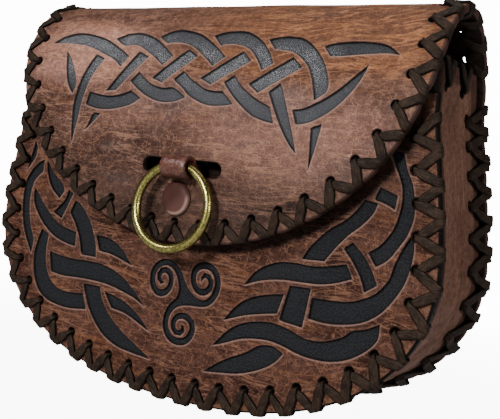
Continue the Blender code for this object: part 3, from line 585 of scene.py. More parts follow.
def leather_sheet(name, outline, holes, figures, lay, spacing, back_spacing):
    """One piece of leather: a tooled face, a plain back, rounded edges and holes."""
    borders = [(outline, loop_normals(outline, True), EDGE_ROWS, ON_EDGE)]
    borders += [(hole, loop_normals(hole, False), HOLE_ROWS, IN_HOLE) for hole in holes]
    front_borders, back_borders = ([loop + normal * rows[end][0] for loop, normal, rows, _ in borders]
                                   for end in (0, -1))
    low, high = outline.min(axis=0), outline.max(axis=0)
    free = jittered(hex_grid(low, high, spacing), spacing * 0.2, 2.0)
    top, top_faces, top_loops = sheet_face(front_borders, free, spacing * 0.45, figures)
    plain = hex_grid(low, high, back_spacing)
    back, back_faces, back_loops = sheet_face(back_borders, plain, back_spacing * 0.4)
    depth, ink, pooled_ink_and_shade, painted_wall_light = np.zeros((4, len(top)))
    if figures:
        depth, ink, pooled_ink_and_shade, painted_wall_light = tooled(top, figures, np.concatenate(top_loops[len(borders):]))
    flats, depths = [top, back], [depth, np.full(len(back), LEATHER)]
    sides = [np.full(len(top), ON_FACE), np.full(len(back), ON_BACK)]
    faces = [*top_faces.tolist(), *(len(top) + back_faces[:, ::-1]).tolist()]
    start = len(top) + len(back)
    for (loop, normal, rows, side), first, last in zip(borders, top_loops, back_loops):
        rings = [first]
        for inset, deep in rows[1:-1]:
            flats.append(loop + normal * inset)
            depths.append(np.full(len(loop), deep))
            sides.append(np.full(len(loop), side))
            rings.append(np.arange(start, start + len(loop)))
            start += len(loop)
        faces += bands([*rings, last + len(top)])
    flats = np.vstack(flats)
    used = np.zeros(len(flats), bool)
    used[[k for face in faces for k in face]] = True
    number = np.cumsum(used) - 1
    points = lay(flats, np.concatenate(depths))
    made = add_mesh(name, points[used], [number[face] for face in faces])
    rim = np.clip(1.0 - distances(edge_tree([outline], 0.5), flats) / RIM_WIDTH, 0.0, 1.0)
    shares = {"ink": ink, "pooled_ink_and_shade": pooled_ink_and_shade, "painted_wall_light": painted_wall_light, "side": np.concatenate(sides), "rim": rim}
    for label, values in shares.items():
        set_values(made, label, np.pad(values, (0, len(flats) - len(values)))[used])
    set_values(made, "flat", np.column_stack([flats, np.zeros(len(flats))])[used])
    return made


# Meshes
def bands(rings):
    """Faces between each ring of point numbers and the next."""
    return [face for a, b in zip(rings, rings[1:])
            for face in np.stack([a, np.roll(a, -1), np.roll(b, -1), b], axis=1).tolist()]


def joined(parts):
    """Points and faces of several meshes as one."""
    points, faces, start = [], [], 0
    for own_points, own_faces in parts:
        points.append(own_points)
        faces += [[k + start for k in face] for face in own_faces]
        start += len(own_points)
    return np.vstack(points), faces


def add_mesh(name, points, faces, sharp=40.0):
    """A closed mesh from points in millimetres, its faces turned outward."""
    mesh = bpy.data.meshes.new(name)
    mesh.from_pydata((np.asarray(points) * MM).tolist(), [], [tuple(int(k) for k in f) for f in faces])
    body = bmesh.new()
    body.from_mesh(mesh)
    bmesh.ops.recalc_face_normals(body, faces=body.faces)
    if body.calc_volume(signed=True) < 0:
        bmesh.ops.reverse_faces(body, faces=body.faces)
    body.to_mesh(mesh)
    body.free()
    mesh.shade_smooth()
    mesh.set_sharp_from_angle(angle=math.radians(sharp))
    made = bpy.data.objects.new(name, mesh)
    bpy.context.scene.collection.objects.link(made)
    return made


def set_values(made, label, values):
    """A number at every point of a mesh, or a vector where there are columns."""
    kind, field = ("FLOAT", "value") if np.ndim(values) == 1 else ("FLOAT_VECTOR", "vector")
    attribute = made.data.attributes.new(label, kind, "POINT")
    attribute.data.foreach_set(field, np.asarray(values, np.float32).ravel())


# Laces
SECTION = [(-1.0, -0.5), (-0.92, -1.0), (0.0, -1.0), (0.92, -1.0), (1.0, -0.5), (1.0, 0.4), (0.9, 0.92),
           (0.45, 1.05), (-0.45, 1.05), (-0.9, 0.92), (-1.0, 0.4)]


def rounded_path(rows, radius, step):
    """A path with its corners rounded, in steps that are no longer than the given one."""
    rows = np.array(rows, float)
    bent = [rows[0]]
    for before, here, after in zip(rows, rows[1:], rows[2:]):
        a, b = here - before, after - here
        la, lb = np.linalg.norm(a), np.linalg.norm(b)
        r = min(radius, 0.45 * la, 0.45 * lb)
        p, q = here - a / la * r, here + b / lb * r
        bent += [(1 - t) ** 2 * p + 2 * t * (1 - t) * here + t * t * q for t in np.linspace(0.0, 1.0, 5)]
    bent.append(rows[-1])
    fine = [bent[0]]
    for a, b in zip(bent, bent[1:]):
        gap = np.linalg.norm(b - a)
        if gap >= 1e-6:
            count = math.ceil(gap / step)
            fine += [a + (b - a) * (k + 1) / count for k in range(count)]
    return np.array(fine)


def ribbon(path, outward, width, thickness, section=SECTION):
    """A band along a path, flat side out: points, faces, flat places and shares of the way to its edges."""
    wide, thick = np.array(section).T
    along = unit(np.gradient(path, axis=0))
    across = unit(np.cross(along, outward))
    up = np.cross(across, along)
    beside = np.broadcast_to(width, len(path))[:, None] / 2 * wide
    points = path[:, None] + across[:, None] * beside[:, :, None]
    points = points + up[:, None] * (thick * thickness / 2)[:, None]
    numbers = np.arange(beside.size).reshape(beside.shape)
    faces = [*numbers[[0, -1]].tolist(), *bands(numbers)]
    run = np.broadcast_to(lengths(path)[:, None], beside.shape)
    flat = np.stack([beside, run, np.zeros(beside.shape)], axis=-1)
    return points.reshape(-1, 3), faces, flat.reshape(-1, 3), np.tile(np.abs(wide), len(path))


def wind_lace(name, seam, lay, pitch, routes):
    """Two thongs wound in opposite directions through the same holes.

    A row of a route is the share of the way to the next hole, the inset and the depth.
    """
    thongs = []
    for direction, rows in zip((1, -1), routes):
        stations = range(seam.first, seam.last + 1)[::direction]
        path = []
        for k in stations:
            slack = PICK.uniform(-LACE_SLACK, LACE_SLACK)
            for share, inset, depth in rows:
                if k == stations[-1] and share > 0.6:
                    share = 0.0
                moved = k + direction * (share + (slack if 0.0 < share < 1.0 else 0.0))
                wander = PICK.uniform(-LACE_WANDER, LACE_WANDER)
                path.append((moved * pitch, inset + wander, depth + wander * 0.5))
        path = rounded_path(path, LACE_BEND, LACE_STEP)
        station, inset, depth = path[:, 0] / pitch, path[:, 1], path[:, 2]
        turn = np.gradient(path[:, 1:], axis=0) * (1.0 if twice_area(np.array(rows)[:, 1:]) < 0 else -1.0)
        turn /= np.maximum(np.hypot(*turn.T), 1e-6)[:, None]
        points = lay(seam.flat(station, inset), depth)
        beyond = lay(seam.flat(station, inset - 0.05 * turn[:, 1]), depth + 0.05 * turn[:, 0])
        outward = unit(beyond - points)
        waver = ripple(np.column_stack([station * 1.3, depth * 0.25]), 1.0, 4.0 + direction)
        twist = ripple(np.column_stack([station * 1.1, inset * 0.3]), 1.0, 14.0 + direction)
        away = np.hypot((station - np.round(station)) * pitch, inset - seam.margin)
        neck = LACE_NECK + (1.0 - LACE_NECK) * np.clip((away - 0.7) / 2.2, 0.0, 1.0)
        along = unit(np.gradient(points, axis=0))
        outward = outward + np.cross(along, outward) * (LACE_TWIST * twist)[:, None]
        points[:, 2] = np.maximum(points[:, 2], LACE_THICKNESS / 2 + 0.08)
        thong = ribbon(points, outward, LACE_WIDTH * neck * (1.0 + 0.16 * waver), LACE_THICKNESS)
        thong[2][:, 1] += THONG_SHIFT * (direction + 1)
        thongs.append(thong)
    points, faces = joined([thong[:2] for thong in thongs])
    points[:, 2] = np.maximum(points[:, 2], 0.02)
    lace = add_mesh(name, points, faces, 60.0)
    set_values(lace, "flat", np.vstack([thong[2] for thong in thongs]))
    set_values(lace, "across", np.concatenate([thong[3] for thong in thongs]))
    return lace


NEAR, FAR = -LACE_SEAT, LEATHER + LACE_SEAT
STEP_OVER = LACE_THICKNESS * 1.02
LOW_IN_HOLE, HIGH_IN_HOLE = -0.8, -0.05


def edge_routes(margin, spread, spread_behind, drawn=0.0):
    """Both thongs of a single edge."""
    low, high, edge = margin + LOW_IN_HOLE, margin + HIGH_IN_HOLE, drawn - LACE_SEAT
    turn = [(spread, drawn + 0.1, NEAR), (spread + 0.01, edge, NEAR * 0.4),
            ((spread + spread_behind) / 2, edge, LEATHER * 0.6), (spread_behind, drawn + 0.2, FAR)]
    under = [(0.0, low, LEATHER / 2), (0.0, low, NEAR), *turn, (1.0, low, FAR)]
    over = [(0.0, high, LEATHER / 2), (0.0, high, NEAR - STEP_OVER),
            (spread * 0.5, margin * 0.5, NEAR - STEP_OVER * 0.45), *turn,
            (0.6, margin * 0.35, FAR + STEP_OVER), (1.0, high, FAR + STEP_OVER)]
    return under, over


def seam_routes():
    """Both thongs of the back seam: over the back's edge and through the gusset."""
    low, high = PANEL_MARGIN + LOW_IN_HOLE, PANEL_MARGIN + HIGH_IN_HOLE
    outside, within = GUSSET_INSET - LACE_SEAT, GUSSET_INSET + LEATHER + LACE_SEAT
    halfway, edge = GUSSET_INSET + LEATHER / 2, 0.2 - LACE_SEAT
    hole = LEATHER + SEAM_GAP + GUSSET_HOLE_FROM_BACK
    behind, before = hole - 0.6, hole + 0.4
    under = [(0.0, halfway, behind), (0.0, outside, behind), (0.37, 0.1, LEATHER + 0.6),
             (0.39, edge, LEATHER * 0.6), (0.42, edge, NEAR * 0.3), (0.46, 0.4, NEAR), (1.0, low, NEAR),
             (1.0, low, FAR), (1.0, within, behind)]
    over = [(0.0, halfway, before), (0.0, outside - STEP_OVER, before),
            (0.22, outside - STEP_OVER * 0.7, hole * 0.62), (0.37, -STEP_OVER * 0.5, LEATHER + 0.4),
            (0.39, edge - STEP_OVER * 0.5, LEATHER * 0.6),
            (0.42, edge - STEP_OVER * 0.5, NEAR * 0.6 - STEP_OVER * 0.4), (0.46, 0.3, NEAR - STEP_OVER * 0.6),
            (0.75, PANEL_MARGIN * 0.6, NEAR - STEP_OVER * 0.5), (1.0, high, NEAR - STEP_OVER),
            (1.0, high, FAR + STEP_OVER), (1.0, within + STEP_OVER, before)]
    return under, over


# Node materials
class Nodes:
    """A short way to write the nodes of a material or a world."""

    def __init__(self, owner):
        owner.use_nodes = True
        self.owner, self.tree = owner, owner.node_tree
        self.shader = self.tree.nodes.get("Principled BSDF")

    def feed(self, socket, value):
        if isinstance(value, bpy.types.NodeSocket):
            self.tree.links.new(value, socket)
        else:
            socket.default_value = (*value, 1.0) if socket.type == "RGBA" else value

    def add(self, kind, output, inputs=(), **settings):
        """One output of a new node, whose inputs are given by name or number."""
        node = self.tree.nodes.new(kind)
        for key, value in settings.items():
            setattr(node, key, value)
        for key, value in dict(inputs).items():
            self.feed(node.inputs[key], value)
        return node.outputs[output]

    def attribute(self, name, output="Fac"):
        return self.add("ShaderNodeAttribute", output, attribute_type="GEOMETRY", attribute_name=name)

    def place(self):
        return self.add("ShaderNodeTexCoord", "Object")

    def split(self, vector):
        return [self.add("ShaderNodeSeparateXYZ", axis, {"Vector": vector}) for axis in "XY"]

    def vector_math(self, kind, output, *values):
        return self.add("ShaderNodeVectorMath", output, enumerate(values), operation=kind)

    def scaled(self, vector, scale, turn=0.0, shift=(0.0, 0.0, 0.0), kind="POINT"):
        turned_by = (0.0, 0.0, math.radians(turn))
        inputs = {"Vector": vector, "Location": shift, "Rotation": turned_by, "Scale": scale}
        return self.add("ShaderNodeMapping", "Vector", inputs, vector_type=kind)

    def tilted(self, vector, size, turn):
        """The vector turned by an angle and then shrunk by a size along each axis."""
        return self.scaled(vector, size, turn, kind="TEXTURE")

    def bend(self, vector, scale, size):
        """The vector with a soft wander, so that lines laid along it wave."""
        wander = self.add("ShaderNodeTexNoise", "Color", {"Vector": vector, "Scale": scale, "Detail": 1.0})
        return self.vector_math("MULTIPLY_ADD", "Vector", wander, (size, size, 0.0), vector)

    def noise(self, vector, scale, detail=3.0, rough=0.5, bend=0.0):
        return self.add("ShaderNodeTexNoise", "Fac", {"Vector": vector, "Scale": scale, "Detail": detail,
                                                      "Roughness": rough, "Distortion": bend})

    def cells(self, vector, scale):
        inputs = {"Vector": vector, "Scale": scale}
        return self.add("ShaderNodeTexVoronoi", "Distance", inputs, feature="DISTANCE_TO_EDGE")

    def math(self, kind, *values):
        return self.add("ShaderNodeMath", "Value", enumerate(values), operation=kind)

    def times(self, *values):
        return functools.reduce(functools.partial(self.math, "MULTIPLY"), values)

    def plus(self, a, b):
        return self.math("ADD", a, b)

    def most(self, *values):
        return functools.reduce(functools.partial(self.math, "MAXIMUM"), values)

    def ramp(self, value, low, high, out_low=0.0, out_high=1.0):
        inputs = {"Value": value, "From Min": low, "From Max": high, "To Min": out_low, "To Max": out_high}
        return self.add("ShaderNodeMapRange", "Result", inputs, interpolation_type="SMOOTHSTEP")

    def ridge(self, vector, width, detail=2.0):
        """Thin wandering lines."""
        away = self.math("ABSOLUTE", self.math("SUBTRACT", self.noise(vector, 1.0, detail), 0.5))
        return self.ramp(away, 0.2 * width, width, 1.0, 0.0)

    def oval(self, place, middle, reach):
        """Zero in the middle of an oval and one on its edge."""
        return self.plus(*[self.math("POWER", self.times(self.math("SUBTRACT", value, centre), 1 / half), 2.0)
                           for value, centre, half in zip(place, middle, reach)])

    def zone(self, place, middle, reach, share):
        """A share within an oval patch, fading outwards."""
        return self.ramp(self.oval(place, middle, reach), 0.1, 1.3, share, 0.0)

    def mix(self, share, a, b, blend="MIX"):
        """Colours are the mix node's inputs 6 and 7 and its output 2."""
        return self.add("ShaderNodeMix", 2, {6: a, 7: b, 0: share}, data_type="RGBA", blend_type=blend)

    def bump(self, height, strength, distance):
        inputs = {"Height": height, "Strength": strength, "Distance": distance}
        self.feed(self.shader.inputs["Normal"], self.add("ShaderNodeBump", "Normal", inputs))

    def finish(self, colour, roughness, metallic=0.0, gloss=0.5):
        values = {"Base Color": colour, "Roughness": roughness, "Metallic": metallic}
        for key, value in {**values, "Specular IOR Level": gloss}.items():
            self.feed(self.shader.inputs[key], value)
        return self.owner


def new_material(name):
    return Nodes(bpy.data.materials.new(name))


def times_colour(share, colour):
    return tuple(share * c for c in colour)


def leather_fields(n, turn):
    """Places and soft noises that all parts of a leather's look share."""
    flat = n.attribute("flat", "Vector")
    u, v = n.split(flat)
    bent = n.bend(n.bend(flat, 0.022, 14.0), 0.12, 1.6)
    clouds = n.scaled(flat, (0.050, 0.070, 0.1), turn, (31.0, 7.0, 0.0))
    bands_at = n.scaled(bent, (0.016, 0.13, 0.1), turn + 3.0)
    streaks = n.scaled(bent, (0.024, 0.50, 0.1), turn + 3.0, (4.0, 9.0, 0.0))
    return SimpleNamespace(
        flat=flat, u=u, v=v, place=(u, v), bent=bent, clouds=n.noise(clouds, 1.0, 4.0, 0.62, 0.4),
        bands=n.noise(bands_at, 1.0, 3.0, 0.55), streaks=n.noise(streaks, 1.0, 3.0, 0.6),
        broad=n.noise(flat, 0.026, 2.0), speckle=n.noise(flat, 1.9, 1.0, 0.6),
        grain=n.noise(flat, 0.5, 4.0, 0.7), mottle=n.noise(flat, 0.22, 4.0, 0.7, 0.6))


def light_creases(n, f, turn):
    """A fine net of light creases, with long wavy lines through it."""
    def laid(scale, extra_turn, shift=(0.0, 0.0, 0.0)):
        return n.scaled(f.bent, scale, turn + extra_turn, shift)

    long_mask = n.ramp(n.noise(f.bent, 0.06, 3.0, 0.6), 0.42, 0.56, 0.15, 1.0)
    long_lines = n.ridge(laid((0.030, 0.26, 0.1), -5.0, (9.0, 2.0, 0.0)), 0.026)
    more_lines = n.ridge(laid((0.050, 0.40, 0.1), -8.0, (3.0, 6.0, 0.0)), 0.024)
    net = n.ridge(laid((0.30, 0.52, 0.1), 6.0, (1.0, 8.0, 0.0)), 0.021)
    small = n.cells(laid((1.0, 1.4, 1.0), -20.0, (5.0, 2.0, 0.0)), 0.50)
    wide = n.cells(laid((1.0, 1.5, 1.0), 14.0), 0.20)
    fine = n.ridge(laid((0.80, 0.9, 0.1), 30.0, (7.0, 5.0, 0.0)), 0.06)
    return n.most(n.times(n.most(long_lines, more_lines), long_mask),
                  n.times(net, n.ramp(f.mottle, 0.42, 0.58, 0.05, 0.85)),
                  n.times(n.ramp(small, 0.01, 0.08, 0.8, 0.0), n.ramp(f.grain, 0.44, 0.62, 0.05, 1.0)),
                  n.times(n.ramp(wide, 0.006, 0.034, 0.9, 0.0), n.ramp(f.mottle, 0.40, 0.54, 0.1, 1.0)),
                  n.times(fine, n.ramp(f.clouds, 0.40, 0.62, 0.0, 0.35)))


def leather_shade(n, f, flap, covered):
    """Fine light and dark from the grain, with painted shade: the front darker under the flap and just below
    its edge, the flap darker toward its bottom and its left, and two patches of painted sheen on the flap.
    """
    parts = [n.ramp(f.speckle, 0.30, 0.70, 0.82, 1.18), n.ramp(f.grain, 0.32, 0.68, 0.80, 1.20),
             n.ramp(f.clouds, 0.28, 0.42, 0.66, 1.0),
             n.ramp(n.noise(f.flat, 3.6, 1.0), 0.32, 0.68, 0.80, 1.20)]
    # Painted shadow: the front darker under the flap and just below its edge.
    if covered:
        under_flap = n.oval(f.place, (1.2, FLAP_CENTRE_Z - 1.0), (FLAP_HALF_WIDTH, FLAP_ROUND_DROP))
        parts.append(n.ramp(under_flap, 1.01, 1.09, 0.25, 1.0))
    # Painted shade and sheen: the flap darker toward its bottom and its left, lighter in two fixed patches.
    if flap:
        parts += [n.ramp(f.v, 56.0, 96.0, 0.46, 1.0), n.ramp(f.u, -80.0, -42.0, 0.72, 1.0),
                  n.plus(n.zone(f.place, (-58.0, 114.0), (44.0, 15.0), 0.8), 1.0),
                  n.plus(n.zone(f.place, (38.0, 88.0), (34.0, 18.0), 0.18), 1.0)]
    return n.times(*parts)


def ink_colour(n, f, tones, spots, flap):
    """Dark ink with painted pale glints where it would catch the light, painted sheen in two patches on the
    flap, and darkest along the walls, where painted shade adds to it on the upper left.
    """
    colour = n.mix(n.ramp(f.speckle, 0.36, 0.66), *tones)
    sparks = n.noise(f.flat, 3.6, 1.0, 0.6)
    lit = n.most(n.ramp(f.v, 114.0, 120.0, 1.0, 0.3), n.ramp(f.u, -30.0, 0.0, 1.0, 0.0))
    shares = n.times(n.ramp(sparks, 0.53, 0.62), n.ramp(f.v, 99.0, 109.0, 0.12, 0.75),
                     n.ramp(f.u, 40.0, 52.0, 1.0, 0.1), lit, n.ramp(f.mottle, 0.40, 0.60, 0.6, 1.0), spots)
    # Painted sheen: two lighter slate patches on the flap's ink.
    if flap:
        colour = n.mix(n.zone(f.place, (22.0, 96.0), (48.0, 16.0), 0.35), colour, (0.064, 0.065, 0.073))
        colour = n.mix(n.zone(f.place, (-60.0, 118.0), (22.0, 12.0), 0.12), colour, (0.064, 0.067, 0.078))
    colour = n.mix(shares, colour, (0.40, 0.40, 0.43))
    # Darkest along the walls, with painted shade heaviest on the upper-left walls.
    return n.mix(n.times(n.attribute("pooled_ink_and_shade"), 0.95), colour, (0.0008, 0.0007, 0.0007))


def leather_material(name, dark, middle, pink, tan, pale, edge, pink_share, tan_share, net_share, painted_wall_light_share,
                     gloss, burnish_and_shade, worn_rim, ink_tones=None, painted_ink_glints=0.0, turn=0.0, flap=False,
                     covered=False, crease=False):
    """Waxed pull-up leather: soft blotches under a fine net of light creases, with wavy rubbed streaks."""
    n = new_material(name)
    f = leather_fields(n, turn)
    colour = n.mix(n.ramp(f.broad, 0.36, 0.64), dark, middle)
    colour = n.mix(n.ramp(f.bands, 0.44, 0.60, 0.0, 0.5), colour, dark)
    blush_and_painted_sheen = n.ramp(f.clouds, 0.42, 0.64, 0.0, pink_share)
    # Painted sheen: three fixed lighter pink patches on the flap, on top of the random pink blush.
    if flap:
        painted_sheen = n.most(n.zone(f.place, (36.0, 88.0), (44.0, 19.0), 0.95),
                       n.zone(f.place, (-55.0, 114.0), (44.0, 15.0), 1.0),
                       n.zone(f.place, (-8.0, 97.0), (40.0, 10.0), 0.7))
        blush_and_painted_sheen = n.most(blush_and_painted_sheen, n.times(painted_sheen, n.ramp(f.clouds, 0.30, 0.52, 0.6, 1.0)))
    colour = n.mix(blush_and_painted_sheen, colour, pink)
    tans = n.times(n.ramp(f.streaks, 0.50, 0.62, 0.0, tan_share), n.ramp(f.broad, 0.42, 0.60, 0.35, 1.0))
    if flap:
        fold = n.times(n.ramp(f.v, 98.0, 114.0), n.ramp(f.u, -40.0, 22.0, 0.05, 1.0),
                       n.ramp(f.v, 150.0, 175.0, 1.0, 0.15))
        colour = n.mix(n.times(fold, n.ramp(f.bands, 0.36, 0.60, 0.75, 1.0)), colour, (0.041, 0.0145, 0.0085))
        tans = n.plus(tans, n.times(fold, n.ramp(f.streaks, 0.36, 0.66, 0.35, 0.72)))
    colour = n.mix(n.math("MINIMUM", tans, 1.0), colour, tan)
    if flap:
        cool = n.noise(n.scaled(f.flat, (0.045, 0.075, 0.1), 0.0, (12.0, 3.0, 0.0)), 1.0, 3.0, 0.6, 0.3)
        cool = n.times(n.ramp(cool, 0.52, 0.66, 0.0, 0.55), n.ramp(f.v, 100.0, 112.0, 1.0, 0.0))
        colour = n.mix(cool, colour, (0.050, 0.034, 0.034))
        pale = n.mix(fold, pale, (0.200, 0.0850, 0.0410))
    creases = light_creases(n, f, turn)
    colour = n.mix(n.times(creases, net_share), colour, pale)
    if flap:
        right = n.times(fold, n.ramp(f.u, 0.0, 30.0))
        hollows = n.noise(n.tilted(f.bent, (11.0, 3.4, 10.0), 9.0), 1.0, 4.0, 0.7, 0.5)
        scratches = n.ridge(n.tilted(f.bent, (24.0, 3.6, 10.0), 9.0), 0.028, 3.0)
        colour = n.mix(n.times(right, n.ramp(hollows, 0.46, 0.64, 0.0, 0.42)), colour, dark)
        colour = n.mix(n.times(right, scratches, 0.65), colour, (0.27, 0.112, 0.047))
    colour = n.mix(1.0, colour, leather_shade(n, f, flap, covered), "MULTIPLY")
    rim = n.attribute("rim")
    # A darker band along the cut edge: burnish on the front and flap, and on the gusset also painted shade
    # along its seams.
    edge_dark, edge_dark_from, edge_dark_to = burnish_and_shade
    colour = n.mix(n.ramp(rim, edge_dark_from, edge_dark_to, 0.0, edge_dark), colour, times_colour(0.25, dark))
    lighter_rim = n.mix(n.ramp(f.grain, 0.4, 0.6), pink, pale)
    colour = n.mix(n.ramp(rim, 0.50, 0.80, 0.0, worn_rim), colour, lighter_rim)
    # Painted shade: a near-black band in the crease behind the front seam.
    if crease:
        depth = n.math("SUBTRACT", f.v, n.ramp(n.math("ABSOLUTE", f.u), 95.0, 150.0, 3.0, 0.0))
        colour = n.mix(n.ramp(depth, -13.0, -8.2, 0.94, 0.0), colour, (0.0012, 0.0008, 0.0006))
    side = n.attribute("side")
    cut = n.mix(n.ramp(f.grain, 0.36, 0.64), times_colour(0.6, edge), edge)
    # The flesh side's colour, darkened as painted shade for the inside of the bag.
    flesh_and_shade = n.mix(n.ramp(f.grain, 0.4, 0.6), (0.012, 0.006, 0.004), (0.022, 0.011, 0.008))
    colour = n.mix(n.ramp(side, 0.3, 0.8), colour, cut)
    colour = n.mix(n.ramp(side, 1.05, 1.4), colour, flesh_and_shade)
    if ink_tones:
        # Painted highlight on the lower-right walls of the tooling.
        colour = n.mix(n.times(n.attribute("painted_wall_light"), painted_wall_light_share), colour, (0.25, 0.155, 0.13))
        colour = n.mix(n.attribute("ink"), colour, ink_colour(n, f, ink_tones, painted_ink_glints, flap))
    rough = n.plus(n.ramp(f.clouds, 0.40, 0.62, 0.70, 0.48), n.ramp(f.grain, 0.38, 0.62, 0.08, -0.05))
    n.bump(n.math("SUBTRACT", n.plus(f.speckle, f.grain), n.times(creases, 0.5)), 0.5, 0.00028)
    return n.finish(colour, rough, gloss=gloss)


def lace_material():
    n = new_material("lace_thong")
    flat = n.attribute("flat", "Vector")
    fibre = n.noise(n.scaled(flat, (2.4, 0.5, 1.0)), 1.0, 4.0, 0.65)
    colour = n.mix(n.ramp(n.noise(flat, 0.16, 3.0, 0.6), 0.36, 0.64), (0.0074, 0.0040, 0.0025),
                   (0.0185, 0.0104, 0.0064))
    colour = n.mix(n.ramp(fibre, 0.48, 0.66, 0.0, 0.5), colour, (0.052, 0.031, 0.0190))
    colour = n.mix(n.ramp(n.attribute("across"), 0.80, 0.98), colour, (0.0028, 0.0018, 0.0012))
    n.bump(n.plus(fibre, n.noise(flat, 1.6, 3.0, 0.65)), 0.55, 0.00028)
    return n.finish(colour, n.ramp(fibre, 0.3, 0.7, 0.72, 0.55), gloss=0.10)


def brass_material():
    n = new_material("antique_brass")
    place = n.place()
    patina, fine = n.noise(place, 1000.0, 3.0, 0.6), n.noise(place, 2400.0, 2.0, 0.6)
    colour = n.mix(n.ramp(patina, 0.36, 0.64), (0.150, 0.128, 0.036), (0.38, 0.335, 0.110))
    colour = n.mix(n.ramp(fine, 0.54, 0.68, 0.0, 0.5), colour, (0.55, 0.49, 0.15))
    colour = n.mix(n.ramp(fine, 0.34, 0.46, 0.45, 0.0), colour, (0.034, 0.028, 0.008))
    n.bump(n.plus(patina, fine), 0.22, 0.00012)
    return n.finish(colour, n.ramp(patina, 0.35, 0.65, 0.34, 0.24), 1.0)


def loop_material():
    n = new_material("loop_leather")
    place = n.place()
    cloud, fine = n.noise(place, 300.0, 3.0, 0.6), n.noise(place, 1500.0, 2.0, 0.6)
    colour = n.mix(n.ramp(cloud, 0.36, 0.64), (0.040, 0.0105, 0.0068), (0.076, 0.0225, 0.0140))
    colour = n.mix(n.ramp(fine, 0.54, 0.66, 0.0, 0.6), colour, (0.190, 0.085, 0.060))
    colour = n.mix(n.ramp(fine, 0.34, 0.46, 0.65, 0.0), colour, (0.008, 0.0026, 0.0018))
    depth = n.split(place)[1]
    # Painted shade: the strap near-black where it passes through the slot and behind the flap.
    within = n.times(n.ramp(depth, -0.0264, -0.0242, 0.0, 0.92), n.ramp(depth, 0.0, 0.01, 1.0, 0.0))
    colour = n.mix(within, colour, (0.0020, 0.0010, 0.0008))
    n.bump(n.plus(fine, cloud), 0.6, 0.0002)
    return n.finish(colour, n.ramp(fine, 0.35, 0.65, 0.44, 0.32), gloss=0.45)


def cap_material():
    """Brown enamel with painted light: lighter toward the lower right, with a painted highlight along the rim
    there.
    """
    n = new_material("cap_enamel")
    place = n.place()
    cloud, fine = n.noise(place, 220.0, 3.0, 0.55), n.noise(place, 2400.0, 2.0)
    colour = n.mix(n.ramp(cloud, 0.35, 0.65), (0.036, 0.0145, 0.0115), (0.044, 0.0180, 0.0145))
    # Painted light: the enamel lighter toward the lower right.
    slope = n.math("SUBTRACT", n.vector_math("DOT_PRODUCT", "Value", place, (620.0, 0.0, -784.0)),
                   0.62 * CLOSURE_X - 0.784 * SNAP_Z)
    colour = n.mix(n.ramp(slope, -1.0, 3.4, 0.0, 0.4), colour, (0.110, 0.0560, 0.0460))
    middle = (MM * CLOSURE_X, MM * (FLAP_Y - 1.0), MM * SNAP_Z)
    # Painted highlight: a light crescent along the rim at the lower right.
    apart = n.vector_math("DISTANCE", "Value", place, middle)
    lighter_rim = n.times(n.ramp(slope, 1.0, 3.4), n.ramp(apart, 0.0040, 0.0048),
                   n.ramp(apart, 0.0048, 0.0053, 1.0, 0.3), 0.75)
    colour = n.mix(lighter_rim, colour, (0.300, 0.1900, 0.1600))
    n.bump(fine, 0.04, 0.0001)
    return n.finish(colour, n.ramp(fine, 0.3, 0.7, 0.42, 0.46), gloss=0.06)


def steel_material():
    n = new_material("stud_steel")
    fine = n.noise(n.scaled(n.place(), (2.0, 0.2, 2.0)), 900.0, 3.0, 0.6)
    n.bump(fine, 0.1, 0.0001)
    colour = n.mix(n.ramp(fine, 0.35, 0.65), (0.30, 0.29, 0.27), (0.48, 0.46, 0.44))
    return n.finish(colour, n.ramp(fine, 0.3, 0.7, 0.34, 0.48), 1.0)


def thread_material():
    n = new_material("waxed_thread")
    twist = n.noise(n.place(), 1800.0, 2.0)
    n.bump(twist, 0.3, 0.0001)
    return n.finish(n.mix(n.ramp(twist, 0.35, 0.65), (0.030, 0.018, 0.011), (0.075, 0.050, 0.032)), 0.6)


def floor_material():
    """A pale floor that the camera sees as white, brighter away from the object."""
    n = new_material("studio_floor")
    place = n.place()
    apart = n.vector_math("LENGTH", "Value", place)
    seen = n.times(n.add("ShaderNodeLightPath", "Is Camera Ray"), n.ramp(apart, 0.08, 0.45, 9.0, 13.6))
    n.feed(n.shader.inputs["Emission Color"], (1.0, 1.0, 1.0))
    n.feed(n.shader.inputs["Emission Strength"], n.plus(seen, 0.25))
    return n.finish(n.mix(n.noise(place, 3.0), (0.30, 0.30, 0.30), (0.31, 0.31, 0.31)), 0.85)


# Pieces
def full_turn(sides):
    return np.arange(sides) * 2 * math.pi / sides


def rounded_hole(centre, radius=HOLE_RADIUS):
    turns = full_turn(18)
    return np.asarray(centre) + radius * np.stack([np.cos(turns), np.sin(turns)], axis=1)


def slot_loop():
    radius = SLOT_WIDTH / 2
    half = SLOT_LENGTH / 2 - radius
    ends = [(CLOSURE_X + side * (half + radius * math.cos(t)), LOOP_Z + side * radius * math.sin(t))
            for side in (1, -1) for t in np.linspace(-math.pi / 2, math.pi / 2, 9)]
    return evenly(closed(np.array(ends)), 61)[:-1]


def close_line(line, step=1.3):
    """A closed outline with points at even steps, its corners kept."""
    around = closed(line)
    return evenly(around, int(lengths(around)[-1] / step) + 1)[:-1]


def scalloped(outline, holes, margin, pitch):
    """The edge bulges at every lace hole and is drawn in between them, where the lace goes over it."""
    gap = distances(tree_of(holes), outline)
    far = math.hypot(margin, pitch / 2)
    draw = 2.0 * np.clip((gap - margin) / (far - margin), 0.0, 1.0) - 1.0
    fade = np.clip((far * 1.3 - gap) / (far * 0.3), 0.0, 1.0)
    return outline + loop_normals(outline, True) * (SCALLOP * draw * fade)[:, None]


def even_spots(pitch, first=0.0):
    return lambda q: first + q * pitch


def flap_spots(q):
    """The flap's lowest hole sits a little left of the middle, as in the photograph."""
    return FLAP_LOWEST_HOLE + np.where(q < 0, FLAP_PITCH_LEFT, FLAP_PITCH_RIGHT) * q


